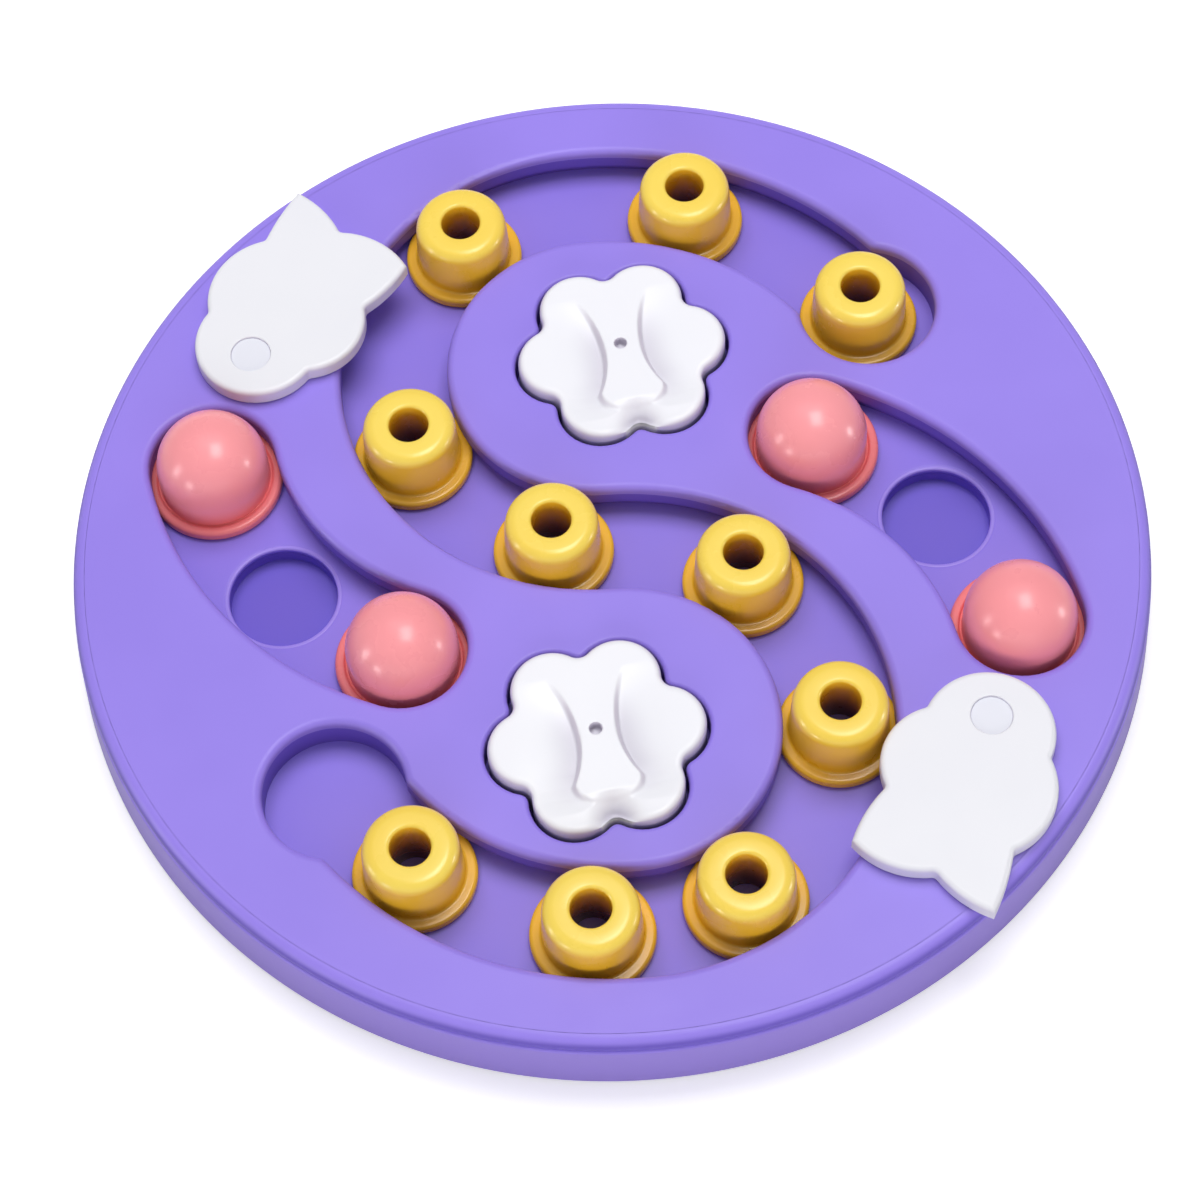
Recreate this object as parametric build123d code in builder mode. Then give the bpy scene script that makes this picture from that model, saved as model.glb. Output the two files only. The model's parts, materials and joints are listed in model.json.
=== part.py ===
from build123d import *
import os
from math import atan2, cos, degrees, hypot, radians, sin

# Round sliding puzzle that hides kibble for a dog. Millimetres, +Z up.
# The origin is the middle of the tray, on the ground under its rubber feet.

# Tray
TRAY_DIAMETER = 260.0
TRAY_HEIGHT = 20.7
TOP_THICKNESS = 2.5
SKIRT_THICKNESS = 2.5
SKIRT_FLARE = 1.3           # the skirt's foot stands this much further out than the rim
SKIRT_STEP = 0.3            # and its top this much
SKIRT_CLEARANCE = 1.0       # from the ground to the skirt
RIM_HEIGHT = 4.2            # the deck's rim, which covers the skirt's top
RIM_RADIUS = 1.6            # rounding of the rim above
SEAM_RADIUS = 0.6           # rounding on both sides of the seam between rim and skirt
SLOT_EDGE_RADIUS = 2.0      # rounding where a slot meets the top
STRIP_FLAT = 1.0            # least flat top left between two roundings
POCKET_EDGE_RADIUS = 1.2
CORNER_RADIUS = 2.6         # where the S slot runs into a bulb
RIB_THICKNESS = 2.0         # walls that go down from the deck to the pan
FLOOR_LEVEL = 11.2          # top of the pan, on which every slider slides

# Sliders and their running clearances
SLIDE_CLEARANCE = 0.3       # sideways, between a flange and its groove
FLANGE_HEADROOM = 0.5       # above a flange, under the groove's roof
HAT_FLANGE_DIAMETER = 29.4
HAT_FLANGE_HEIGHT = 3.0
HAT_FOOT_DIAMETER = 23.8    # body, just above the flange
HAT_TOP_DIAMETER = 22.4     # body, where its rounded shoulder starts
HAT_HEIGHT = 17.4
HAT_SHOULDER = 2.3
HAT_HOLE_DIAMETER = 9.6
HAT_HOLE_EDGE = 0.6
HAT_WALL = 2.0
HAT_TUBE_WALL = 1.6
HAT_BODY_GAP = 1.4          # each side, between the body and the slot
DOME_FLANGE_DIAMETER = 33.2
DOME_FLANGE_HEIGHT = 3.0
DOME_DIAMETER = 27.2
DOME_HEIGHT = 22.1
DOME_WALL = 2.0
DOME_BODY_GAP = 2.0
GUTTER_WIDTH = 1.2          # hollow in a dome's flange, along the foot of its body
GUTTER_DEPTH = 0.7
FLANGE_ROUNDING = 0.9

# S slot: four arcs, through the middle of the tray, with a bulb at each end
RIM_TO_TRACK = 30.0         # from the rim to the slot's middle line at its outermost
BEND_SHIFT = 1.0            # the upper inner bend's centre stands this much to the left
OUTER_RISE = 23.0           # of the upper outer bend's centre
BULB_BEARING = 30.0
BULB_SHIFT = 1.5            # the bulb stands this much outside the slot's middle line
BULB_GAP = 2.3              # each side, between a hat's flange and the bulb

# Curved slots for the domes, with three kibble cups under each
RIM_TO_CUP = 49.8           # from the rim to the middle cup
CUP_BEARING = 183.9         # of the left middle cup, from the middle of the tray
DOME_TRACK_RADIUS = 73.0
DOME_TRACK_BEARING = 220.5  # of the left middle cup, from the middle of its track's arc
SEAT_STEPS = (-29.4, 0.0, 28.2)     # degrees from the middle cup to each cup
CUP_DIAMETER = 26.4
CUP_DEPTH = 5.0
CUP_EDGE_RADIUS = 1.5

# Flower lids and their pockets
FLOWER_SHIFTS = ((7.0, 1.9), (-7.0, -3.6))      # from the centres of the inner bends
LOBE_TIP = 26.0             # from a lid's middle
POCKET_GAP = 0.9
LOBES = 6
LOBE_BEARING = 8.0
LOBE_RADIUS = 9.9
NOTCH_RADIUS = 3.2
LID_HEIGHT = 12.3
LID_WALL = 2.0
LID_EDGE_RADIUS = 1.6
LID_CEILING = 1.7           # left over the hollow, under the finger scoops
BONE_WAIST = 8.2
SCOOP_RADIUS = 26.0         # of the bone's hollow sides, seen from above
SCOOP_DEPTH = 2.6
SCOOP_REACH = 14.0          # half the length of a scoop along the bone
BONE_HOLE_DIAMETER = 3.0
BONE_HOLE_DEPTH = 2.4
BONE_HOLE_SHIFT = 1.5       # towards the upper end of the bone
BONE_DIP_DEPTH = 1.4        # at the notch where the bone ends
BONE_DIP_REACH = 4.5
FLOWER_WELL_DIAMETER = 34.0
FLOWER_WELL_DEPTH = 7.0

# Fish covers and their pivots
RIM_TO_PIVOT = 27.5
PIVOT_BEARING = 146.9       # of the left pivot, from the middle of the tray
FISH_BEARING = 57.0         # from pivot to tail, midway between both covers
FISH_SWING = 4.5            # each cover rests turned away from that by this much
FISH_THICKNESS = 4.2
FISH_EDGE_RADIUS = 1.4
FISH_NOTCH_RADIUS = 1.5
FISH_TIP_RADIUS = 4.2
PAD_HEIGHT = 0.3            # raised ring that carries a cover clear of the deck
PAD_DIAMETER = 20.0
SHOULDER_DIAMETER = 5.0
SHOULDER_CLEARANCE = 0.1
SHOULDER_PLAY = 0.1         # up and down, between a cover and its screw's head
SCREW_HEAD_DIAMETER = 8.2
SCREW_HEAD_HEIGHT = 1.3
HEAD_CLEARANCE = 0.3
CAP_DIAMETER = 9.8
CAP_THICKNESS = 0.6
CAP_SINK = 0.5
CAP_SEAT_RADIUS = 0.4       # rounding of the recess that holds the cap
THREAD_DIAMETER = 3.0
THREAD_LENGTH = 6.0
WELL_BEARING = 72.0         # of the left fish well, from its pivot
WELL_REACH = 21.0
WELL_DIAMETER = 22.0
WELL_DEPTH = 6.5

# Pan, screws and feet
PAN_THICKNESS = 2.0
PAN_GAP = 1.0               # between the pan's edge and the skirt
PAN_LIP_HEIGHT = 4.0
POT_WALL = 2.0
BOSS_DIAMETER = 8.0
CASE_SCREWS = ((106.4, 21.5), (117.5, 47.1), (119.6, 104.0), (67.5, 50.4))
CASE_HOLE_CLEARANCE = 0.2
CASE_HEAD_DIAMETER = 6.0
CASE_HEAD_HEIGHT = 2.0
FOOT_COUNT = 6
FOOT_INSET = 14.5           # from the pan's edge to the middle of a foot
FOOT_DIAMETER = 12.0
FOOT_THICKNESS = 1.5
FOOT_RECESS = 0.5
POST_WALL = 1.5
STIFFENER_COUNT = 12
STIFFENER_WIDTH = 1.6
STIFFENER_HEIGHT = 2.0
STIFFENER_RINGS = (34.0, 92.0)

# Levels and sizes that follow
TRAY_RADIUS = TRAY_DIAMETER / 2
DECK_UNDERSIDE = TRAY_HEIGHT - TOP_THICKNESS
RIM_UNDERSIDE = TRAY_HEIGHT - RIM_HEIGHT
SKIRT_TOP_RADIUS = TRAY_RADIUS + SKIRT_STEP
SKIRT_FOOT_RADIUS = TRAY_RADIUS + SKIRT_FLARE
PAN_RADIUS = TRAY_RADIUS - SKIRT_THICKNESS - PAN_GAP
PAN_UNDERSIDE = FLOOR_LEVEL - PAN_THICKNESS
FOOT_REACH = PAN_RADIUS - FOOT_INSET
TRACK_REACH = TRAY_RADIUS - RIM_TO_TRACK
BEND_RISE = TRACK_REACH / 2
BEND_RADIUS = hypot(BEND_SHIFT, BEND_RISE)
OUTER_RADIUS = BEND_RADIUS + hypot(BEND_SHIFT, BEND_RISE - OUTER_RISE)
HAT_GROOVE = HAT_FLANGE_DIAMETER + 2 * SLIDE_CLEARANCE
HAT_SLOT = HAT_FOOT_DIAMETER + 2 * HAT_BODY_GAP
HAT_GROOVE_ROOF = FLOOR_LEVEL + HAT_FLANGE_HEIGHT + FLANGE_HEADROOM
BULB_RADIUS = HAT_FLANGE_DIAMETER / 2 + BULB_GAP
DOME_GROOVE = DOME_FLANGE_DIAMETER + 2 * SLIDE_CLEARANCE
DOME_SLOT = DOME_DIAMETER + 2 * DOME_BODY_GAP
DOME_GROOVE_ROOF = FLOOR_LEVEL + DOME_FLANGE_HEIGHT + FLANGE_HEADROOM
FISH_UNDERSIDE = TRAY_HEIGHT + PAD_HEIGHT
FISH_TOP = FISH_UNDERSIDE + FISH_THICKNESS


def polar(centre, radius, bearing):
    """Point at a distance and a bearing in degrees from a centre."""
    x, y = centre
    return x + radius * cos(radians(bearing)), y + radius * sin(radians(bearing))


def opposite(point):
    """The tray looks the same after half a turn: the matching point on the other side."""
    return -point[0], -point[1]


def pair(point):
    """A point and its opposite."""
    return point, opposite(point)


MIDDLE = (0.0, 0.0)
UPPER_INNER = (-BEND_SHIFT, BEND_RISE)
UPPER_OUTER = (0.0, OUTER_RISE)
BENDS = {
    "upper_outer": (UPPER_OUTER, OUTER_RADIUS),
    "upper_inner": (UPPER_INNER, BEND_RADIUS),
    "lower_inner": (opposite(UPPER_INNER), BEND_RADIUS),
    "lower_outer": (opposite(UPPER_OUTER), OUTER_RADIUS),
}
HATS = (
    ("upper_outer", 31.0),
    ("upper_outer", 71.4),
    ("upper_inner", 128.8),
    ("upper_inner", 202.6),
    ("upper_inner", 255.2),
    ("lower_inner", 52.5),
    ("lower_inner", -1.6),
    ("lower_inner", -60.2),
    ("lower_outer", -97.3),
    ("lower_outer", -130.6),
)
MEETING_BEARING = degrees(atan2(BEND_RISE - OUTER_RISE, -BEND_SHIFT))
MIDDLE_BEARING = degrees(atan2(BEND_RISE, -BEND_SHIFT))
INNER_SWEEP = 180 + MIDDLE_BEARING - MEETING_BEARING
BULB = polar(UPPER_OUTER, OUTER_RADIUS + BULB_SHIFT, BULB_BEARING)
MIDDLE_CUP = polar(MIDDLE, TRAY_RADIUS - RIM_TO_CUP, CUP_BEARING)
DOME_TRACK = polar(MIDDLE_CUP, -DOME_TRACK_RADIUS, DOME_TRACK_BEARING)
SEAT_BEARINGS = tuple(DOME_TRACK_BEARING + step for step in SEAT_STEPS)
DOME_SWEEP = SEAT_BEARINGS[2] - SEAT_BEARINGS[0]
CUPS = tuple(polar(DOME_TRACK, DOME_TRACK_RADIUS, bearing) for bearing in SEAT_BEARINGS)
ALL_CUPS = CUPS + tuple(opposite(cup) for cup in CUPS)
DOMES = (CUPS[0], CUPS[2], opposite(CUPS[0]), opposite(CUPS[2]))
FLOWERS = tuple(
    (x + shift_x, y + shift_y)
    for (x, y), (shift_x, shift_y) in zip(pair(UPPER_INNER), FLOWER_SHIFTS)
)
PIVOT = polar(MIDDLE, TRAY_RADIUS - RIM_TO_PIVOT, PIVOT_BEARING)
FISH_WELL = polar(PIVOT, WELL_REACH, WELL_BEARING)
SCREWS = tuple(spot for place in CASE_SCREWS for spot in pair(polar(MIDDLE, *place)))
# The narrowest strip of deck stands between a bulb and the nearest dome slot
STRIP = hypot(BULB[0] + CUPS[2][0], BULB[1] + CUPS[2][1]) - BULB_RADIUS - DOME_SLOT / 2
SLOT_EDGE = min(SLOT_EDGE_RADIUS, (STRIP - STRIP_FLAT) / 2)


# Outlines ---------------------------------------------------------------------

with BuildLine() as hat_track:
    CenterArc(*BENDS["upper_outer"], BULB_BEARING, MEETING_BEARING - BULB_BEARING)
    CenterArc(*BENDS["upper_inner"], MEETING_BEARING, INNER_SWEEP)
    CenterArc(*BENDS["lower_inner"], MIDDLE_BEARING, -INNER_SWEEP)
    CenterArc(*BENDS["lower_outer"], MEETING_BEARING - 180, BULB_BEARING - MEETING_BEARING)

with BuildLine() as left_dome_track:
    CenterArc(DOME_TRACK, DOME_TRACK_RADIUS, SEAT_BEARINGS[0], DOME_SWEEP)

with BuildLine() as right_dome_track:
    CenterArc(opposite(DOME_TRACK), DOME_TRACK_RADIUS, SEAT_BEARINGS[0] - 180, DOME_SWEEP)


def hat_band(width):
    """Band of one width along the S slot's middle line."""
    with BuildSketch() as band:
        SlotArc(hat_track.wire(), width)
    return band.sketch


def dome_bands(width):
    """Bands of one width along both dome tracks."""
    with BuildSketch() as bands:
        SlotArc(left_dome_track.wire(), width)
        SlotArc(right_dome_track.wire(), width)
    return bands.sketch


def flower(growth):
    """Six lobes around the middle, grown outwards by a distance."""
    with BuildSketch() as outline:
        with PolarLocations(LOBE_TIP - LOBE_RADIUS, LOBES, LOBE_BEARING):
            Circle(LOBE_RADIUS)
        Circle(LOBE_TIP - LOBE_RADIUS)
        fillet(outline.vertices(), NOTCH_RADIUS)
        if growth:
            offset(amount=growth)
    return outline.sketch


def fish():
    """Fish seen from above: the pivot in its head is the origin, its tail points along +Y."""
    nose, tail = (-0.6, -11.6), (-3.3, 41.7)
    left_gill, right_gill = (-16.6, 4.3), (14.6, 4.0)
    left_root, right_root = (-17.6, 29.3), (15.3, 26.8)
    left_tip, right_tip = (-19.4, 45.6), (17.0, 42.6)
    with BuildSketch() as outline:
        with BuildLine():
            ThreePointArc(left_gill, nose, right_gill)
            ThreePointArc(right_gill, (20.0, 13.5), right_root)
            ThreePointArc(right_root, (17.0, 34.0), right_tip)
            ThreePointArc(right_tip, (8.7, 44.8), tail)
            ThreePointArc(tail, (-11.0, 44.9), left_tip)
            ThreePointArc(left_tip, (-19.1, 38.0), left_root)
            ThreePointArc(left_root, (-22.3, 17.0), left_gill)
        make_face()
        tips = outline.vertices().sort_by(Axis.Y)[-2:]
        notches = outline.vertices().sort_by(Axis.Y)[:-2]
        fillet(notches, FISH_NOTCH_RADIUS)
        fillet(tips, FISH_TIP_RADIUS)
    return outline.sketch


def at_level(edges, level):
    """The edges that lie flat at one height."""
    return edges.filter_by_position(Axis.Z, level - 0.001, level + 0.001)


def deliver(part, name):
    """Label a finished piece and write it."""
    part.label = name
    export_step(part, f"parts/{name}.step")


os.makedirs("parts", exist_ok=True)

# Tray deck ----------------------------------------------------------------------

with BuildSketch() as hat_slot:
    add(hat_band(HAT_SLOT))
    with Locations(*pair(BULB)):
        Circle(BULB_RADIUS)
    corners = hat_slot.vertices().filter_by(
        lambda v: min(abs(hypot(v.X - x, v.Y - y) - BULB_RADIUS) for x, y in pair(BULB)) < 0.001
        and abs(hypot(v.X, abs(v.Y) - OUTER_RISE) - OUTER_RADIUS) < HAT_SLOT / 2 + 0.001
    )
    fillet(corners, CORNER_RADIUS)

with BuildSketch() as pockets:
    with Locations(*FLOWERS):
        add(flower(POCKET_GAP))
    with Locations(*pair(FISH_WELL)):
        Circle(WELL_DIAMETER / 2)

with BuildPart() as deck:
    with BuildSketch(Plane.XZ) as section:
        with BuildLine():
            Polyline(
                (0, TRAY_HEIGHT),
                (TRAY_RADIUS, TRAY_HEIGHT),
                (TRAY_RADIUS, RIM_UNDERSIDE),
                (TRAY_RADIUS - SKIRT_THICKNESS, RIM_UNDERSIDE),
                (TRAY_RADIUS - SKIRT_THICKNESS, DECK_UNDERSIDE),
                (0, DECK_UNDERSIDE),
                close=True,
            )
        make_face()
        fillet(section.vertices().sort_by_distance((TRAY_RADIUS, TRAY_HEIGHT))[0], RIM_RADIUS)
        fillet(section.vertices().sort_by_distance((TRAY_RADIUS, RIM_UNDERSIDE))[0], SEAM_RADIUS)
    revolve(axis=Axis.Z)
    # Slots for the sliders
    with BuildSketch(Plane.XY.offset(DECK_UNDERSIDE)):
        add(hat_slot.sketch)
        add(dome_bands(DOME_SLOT))
    extrude(amount=TOP_THICKNESS, mode=Mode.SUBTRACT)
    fillet(at_level(deck.edges(Select.LAST), TRAY_HEIGHT), SLOT_EDGE)
    # Flower pockets and fish wells
    with BuildSketch(Plane.XY.offset(DECK_UNDERSIDE)):
        add(pockets.sketch)
    extrude(amount=TOP_THICKNESS, mode=Mode.SUBTRACT)
    fillet(at_level(deck.edges(Select.LAST), TRAY_HEIGHT), POCKET_EDGE_RADIUS)
    # Raised pads that carry the fish covers, and the holes for their screws
    with BuildSketch(Plane.XY.offset(TRAY_HEIGHT)):
        with Locations(*pair(PIVOT)):
            Circle(PAD_DIAMETER / 2)
    extrude(amount=PAD_HEIGHT)
    with BuildSketch(Plane.XY.offset(FISH_UNDERSIDE)):
        with Locations(*pair(PIVOT)):
            Circle(THREAD_DIAMETER / 2)
    extrude(amount=-THREAD_LENGTH, mode=Mode.SUBTRACT)
deliver(deck.part, "tray_deck")


# Walls and bosses that stand on the pan and carry the deck ------------------------

# A groove at the foot of each slot's walls holds the sliders' flanges down
with BuildPart() as hat_walls:
    with BuildSketch(Plane.XY.offset(FLOOR_LEVEL)):
        add(hat_band(HAT_GROOVE + 2 * RIB_THICKNESS))
        with Locations(*pair(BULB)):
            Circle(BULB_RADIUS + RIB_THICKNESS)
        add(hat_slot.sketch, mode=Mode.SUBTRACT)
    extrude(amount=DECK_UNDERSIDE - FLOOR_LEVEL)
    with BuildSketch(Plane.XY.offset(FLOOR_LEVEL)):
        add(hat_band(HAT_GROOVE))
    extrude(amount=HAT_GROOVE_ROOF - FLOOR_LEVEL, mode=Mode.SUBTRACT)
deliver(hat_walls.part, "hat_slot_walls")

with BuildPart() as dome_walls:
    with BuildSketch(Plane.XY.offset(FLOOR_LEVEL)):
        add(dome_bands(DOME_GROOVE + 2 * RIB_THICKNESS))
        add(dome_bands(DOME_SLOT), mode=Mode.SUBTRACT)
    extrude(amount=DECK_UNDERSIDE - FLOOR_LEVEL)
    with BuildSketch(Plane.XY.offset(FLOOR_LEVEL)):
        add(dome_bands(DOME_GROOVE))
    extrude(amount=DOME_GROOVE_ROOF - FLOOR_LEVEL, mode=Mode.SUBTRACT)
deliver(dome_walls.part, "dome_slot_walls")

with BuildPart() as pocket_walls:
    with BuildSketch(Plane.XY.offset(FLOOR_LEVEL)):
        with Locations(*FLOWERS):
            add(flower(POCKET_GAP + RIB_THICKNESS))
        with Locations(*pair(FISH_WELL)):
            Circle(WELL_DIAMETER / 2 + RIB_THICKNESS)
        add(pockets.sketch, mode=Mode.SUBTRACT)
    extrude(amount=DECK_UNDERSIDE - FLOOR_LEVEL)
deliver(pocket_walls.part, "pocket_walls")

with BuildPart() as bosses:
    with BuildSketch(Plane.XY.offset(FLOOR_LEVEL)):
        with Locations(*pair(PIVOT), *SCREWS):
            Circle(BOSS_DIAMETER / 2)
    extrude(amount=DECK_UNDERSIDE - FLOOR_LEVEL)
    with BuildSketch(Plane.XY.offset(FISH_UNDERSIDE)):
        with Locations(*pair(PIVOT)):
            Circle(THREAD_DIAMETER / 2)
    extrude(amount=-THREAD_LENGTH, mode=Mode.SUBTRACT)
    with BuildSketch(Plane.XY.offset(FLOOR_LEVEL)):
        with Locations(*SCREWS):
            Circle(THREAD_DIAMETER / 2)
    extrude(amount=THREAD_LENGTH, mode=Mode.SUBTRACT)
deliver(bosses.part, "screw_bosses")


# Skirt ----------------------------------------------------------------------------

with BuildPart() as skirt:
    with BuildSketch(Plane.XZ) as section:
        with BuildLine():
            Polyline(
                (TRAY_RADIUS - SKIRT_THICKNESS, RIM_UNDERSIDE),
                (SKIRT_TOP_RADIUS, RIM_UNDERSIDE),
                (SKIRT_FOOT_RADIUS, SKIRT_CLEARANCE),
                (SKIRT_FOOT_RADIUS - SKIRT_THICKNESS, SKIRT_CLEARANCE),
                close=True,
            )
        make_face()
        fillet(section.vertices().sort_by_distance((SKIRT_TOP_RADIUS, RIM_UNDERSIDE))[0], SEAM_RADIUS)
    revolve(axis=Axis.Z)
deliver(skirt.part, "tray_skirt")


# Base pan ------------------------------------------------------------------------

WELLS = (
    (ALL_CUPS, CUP_DIAMETER / 2, CUP_DEPTH),
    (FLOWERS, FLOWER_WELL_DIAMETER / 2, FLOWER_WELL_DEPTH),
    (pair(FISH_WELL), WELL_DIAMETER / 2, WELL_DEPTH),
)

with BuildPart() as pan:
    with BuildSketch(Plane.XY.offset(PAN_UNDERSIDE)):
        Circle(PAN_RADIUS)
    extrude(amount=PAN_THICKNESS)
    # Lip around the edge, rings and spokes that stiffen the underside
    with BuildSketch(Plane.XY.offset(PAN_UNDERSIDE)):
        Circle(PAN_RADIUS)
        Circle(PAN_RADIUS - POT_WALL, mode=Mode.SUBTRACT)
    extrude(amount=-PAN_LIP_HEIGHT)
    with BuildSketch(Plane.XY.offset(PAN_UNDERSIDE)) as stiffeners:
        for ring in STIFFENER_RINGS:
            Circle(ring)
            Circle(ring - STIFFENER_WIDTH, mode=Mode.SUBTRACT)
        inner, outer = STIFFENER_RINGS[0], PAN_RADIUS
        with PolarLocations((inner + outer) / 2 - STIFFENER_WIDTH, STIFFENER_COUNT):
            Rectangle(outer - inner, STIFFENER_WIDTH)
    extrude(amount=-STIFFENER_HEIGHT)
    # Pots that hang under the plate, then their insides
    for places, radius, depth in WELLS:
        with BuildSketch(Plane.XY.offset(FLOOR_LEVEL)):
            with Locations(*places):
                Circle(radius + POT_WALL)
        extrude(amount=-depth - POT_WALL)
    for places, radius, depth in WELLS:
        with BuildSketch(Plane.XY.offset(FLOOR_LEVEL)):
            with Locations(*places):
                Circle(radius)
        extrude(amount=-depth, mode=Mode.SUBTRACT)
        fillet(at_level(pan.edges(Select.LAST), FLOOR_LEVEL), CUP_EDGE_RADIUS)
    # Posts for the feet
    with BuildSketch(Plane.XY.offset(PAN_UNDERSIDE)):
        with PolarLocations(FOOT_REACH, FOOT_COUNT):
            Circle(FOOT_DIAMETER / 2 + POST_WALL)
    extrude(amount=FOOT_THICKNESS - FOOT_RECESS - PAN_UNDERSIDE)
    with BuildSketch(Plane.XY.offset(FOOT_THICKNESS)):
        with PolarLocations(FOOT_REACH, FOOT_COUNT):
            Circle(FOOT_DIAMETER / 2)
    extrude(amount=-FOOT_RECESS, mode=Mode.SUBTRACT)
    # Clearance holes for the case screws
    with BuildSketch(Plane.XY.offset(FLOOR_LEVEL)):
        with Locations(*SCREWS):
            Circle(THREAD_DIAMETER / 2 + CASE_HOLE_CLEARANCE)
    extrude(amount=-PAN_THICKNESS - STIFFENER_HEIGHT, mode=Mode.SUBTRACT)
    with BuildSketch(Plane.XY.offset(PAN_UNDERSIDE)):
        with Locations(*SCREWS):
            Circle(CASE_HEAD_DIAMETER / 2 + CASE_HOLE_CLEARANCE)
    extrude(amount=-STIFFENER_HEIGHT, mode=Mode.SUBTRACT)
deliver(pan.part, "base_pan")


# Screws and feet under the tray --------------------------------------------------

with BuildPart() as screws:
    with BuildSketch(Plane.XY.offset(PAN_UNDERSIDE)):
        with Locations(*SCREWS):
            Circle(THREAD_DIAMETER / 2)
    extrude(amount=PAN_THICKNESS + THREAD_LENGTH)
    with BuildSketch(Plane.XY.offset(PAN_UNDERSIDE)):
        with Locations(*SCREWS):
            Circle(CASE_HEAD_DIAMETER / 2)
    extrude(amount=-CASE_HEAD_HEIGHT)
    rounding = at_level(screws.edges(), PAN_UNDERSIDE - CASE_HEAD_HEIGHT)
    fillet(rounding, CASE_HEAD_HEIGHT / 3)
deliver(screws.part, "case_screws")

with BuildPart() as feet:
    with BuildSketch():
        with PolarLocations(FOOT_REACH, FOOT_COUNT):
            Circle(FOOT_DIAMETER / 2)
    extrude(amount=FOOT_THICKNESS)
    fillet(at_level(feet.edges(), 0), FOOT_RECESS)
deliver(feet.part, "rubber_feet")


# Hats ----------------------------------------------------------------------------

with BuildPart() as hat:
    with BuildSketch(Plane.XZ) as profile:
        flange, foot, top = HAT_FLANGE_DIAMETER / 2, HAT_FOOT_DIAMETER / 2, HAT_TOP_DIAMETER / 2
        hole = HAT_HOLE_DIAMETER / 2
        with BuildLine():
            Polyline(
                (hole, 0),
                (flange, 0),
                (flange, HAT_FLANGE_HEIGHT),
                (foot, HAT_FLANGE_HEIGHT),
                (top, HAT_HEIGHT),
                (hole, HAT_HEIGHT),
                close=True,
            )
        make_face()
        fillet(profile.vertices().filter_by(lambda v: v.X > flange - 0.001), FLANGE_ROUNDING)
        fillet(profile.vertices().sort_by_distance((top, HAT_HEIGHT))[0], HAT_SHOULDER)
        fillet(profile.vertices().sort_by_distance((hole, HAT_HEIGHT))[0], HAT_HOLE_EDGE)
    revolve(axis=Axis.Z)
    # The hollow between the outer wall and the tube of the hole
    with BuildSketch(Plane.XZ):
        tube = hole + HAT_TUBE_WALL
        with BuildLine():
            Polyline(
                (tube, 0),
                (foot - HAT_WALL, 0),
                (top - HAT_WALL, HAT_HEIGHT - HAT_SHOULDER),
                (top - HAT_WALL - HAT_SHOULDER / 2, HAT_HEIGHT - HAT_WALL),
                (tube, HAT_HEIGHT - HAT_WALL),
                close=True,
            )
        make_face()
    revolve(axis=Axis.Z, mode=Mode.SUBTRACT)

for number, (bend, bearing) in enumerate(HATS, start=1):
    spot = polar(*BENDS[bend], bearing)
    deliver(hat.part.moved(Location((*spot, FLOOR_LEVEL))), f"hat_{number}")


# Domes ---------------------------------------------------------------------------

with BuildPart() as dome:
    with BuildSketch(Plane.XZ) as profile:
        flange, outer = DOME_FLANGE_DIAMETER / 2, DOME_DIAMETER / 2
        with BuildLine():
            Polyline((0, 0), (flange, 0), (flange, DOME_FLANGE_HEIGHT), (outer, DOME_FLANGE_HEIGHT))
            Line((outer, DOME_FLANGE_HEIGHT), (outer, DOME_HEIGHT - outer))
            RadiusArc((outer, DOME_HEIGHT - outer), (0, DOME_HEIGHT), -outer)
            Line((0, DOME_HEIGHT), (0, 0))
        make_face()
        fillet(profile.vertices().filter_by(lambda v: v.X > flange - 0.001), FLANGE_ROUNDING)
        with Locations((outer + GUTTER_WIDTH / 2, DOME_FLANGE_HEIGHT)):
            Rectangle(GUTTER_WIDTH, 2 * GUTTER_DEPTH, mode=Mode.SUBTRACT)
    revolve(axis=Axis.Z)
    with BuildSketch(Plane.XZ):
        inner = outer - DOME_WALL
        with BuildLine():
            Polyline((0, 0), (inner, 0), (inner, DOME_HEIGHT - outer))
            RadiusArc((inner, DOME_HEIGHT - outer), (0, DOME_HEIGHT - DOME_WALL), -inner)
            Line((0, DOME_HEIGHT - DOME_WALL), (0, 0))
        make_face()
    revolve(axis=Axis.Z, mode=Mode.SUBTRACT)

for number, spot in enumerate(DOMES, start=1):
    deliver(dome.part.moved(Location((*spot, FLOOR_LEVEL))), f"dome_{number}")


# Flower lids ---------------------------------------------------------------------

BONE_BEARING = LOBE_BEARING + 1.5 * 360 / LOBES     # the bone runs from notch to notch
SCOOP_BOWL = (SCOOP_REACH**2 + SCOOP_DEPTH**2) / (2 * SCOOP_DEPTH)

with BuildPart() as scoop:
    # Bowl cut off along the bone: its flat circle lies on the lid's top
    with Locations((BONE_WAIST / 2, 0, SCOOP_BOWL - SCOOP_DEPTH)):
        Sphere(SCOOP_BOWL)
    with Locations((BONE_WAIST / 2 + SCOOP_RADIUS, 0, 0)):
        Cylinder(SCOOP_RADIUS, 4 * SCOOP_DEPTH, mode=Mode.INTERSECT)

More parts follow.
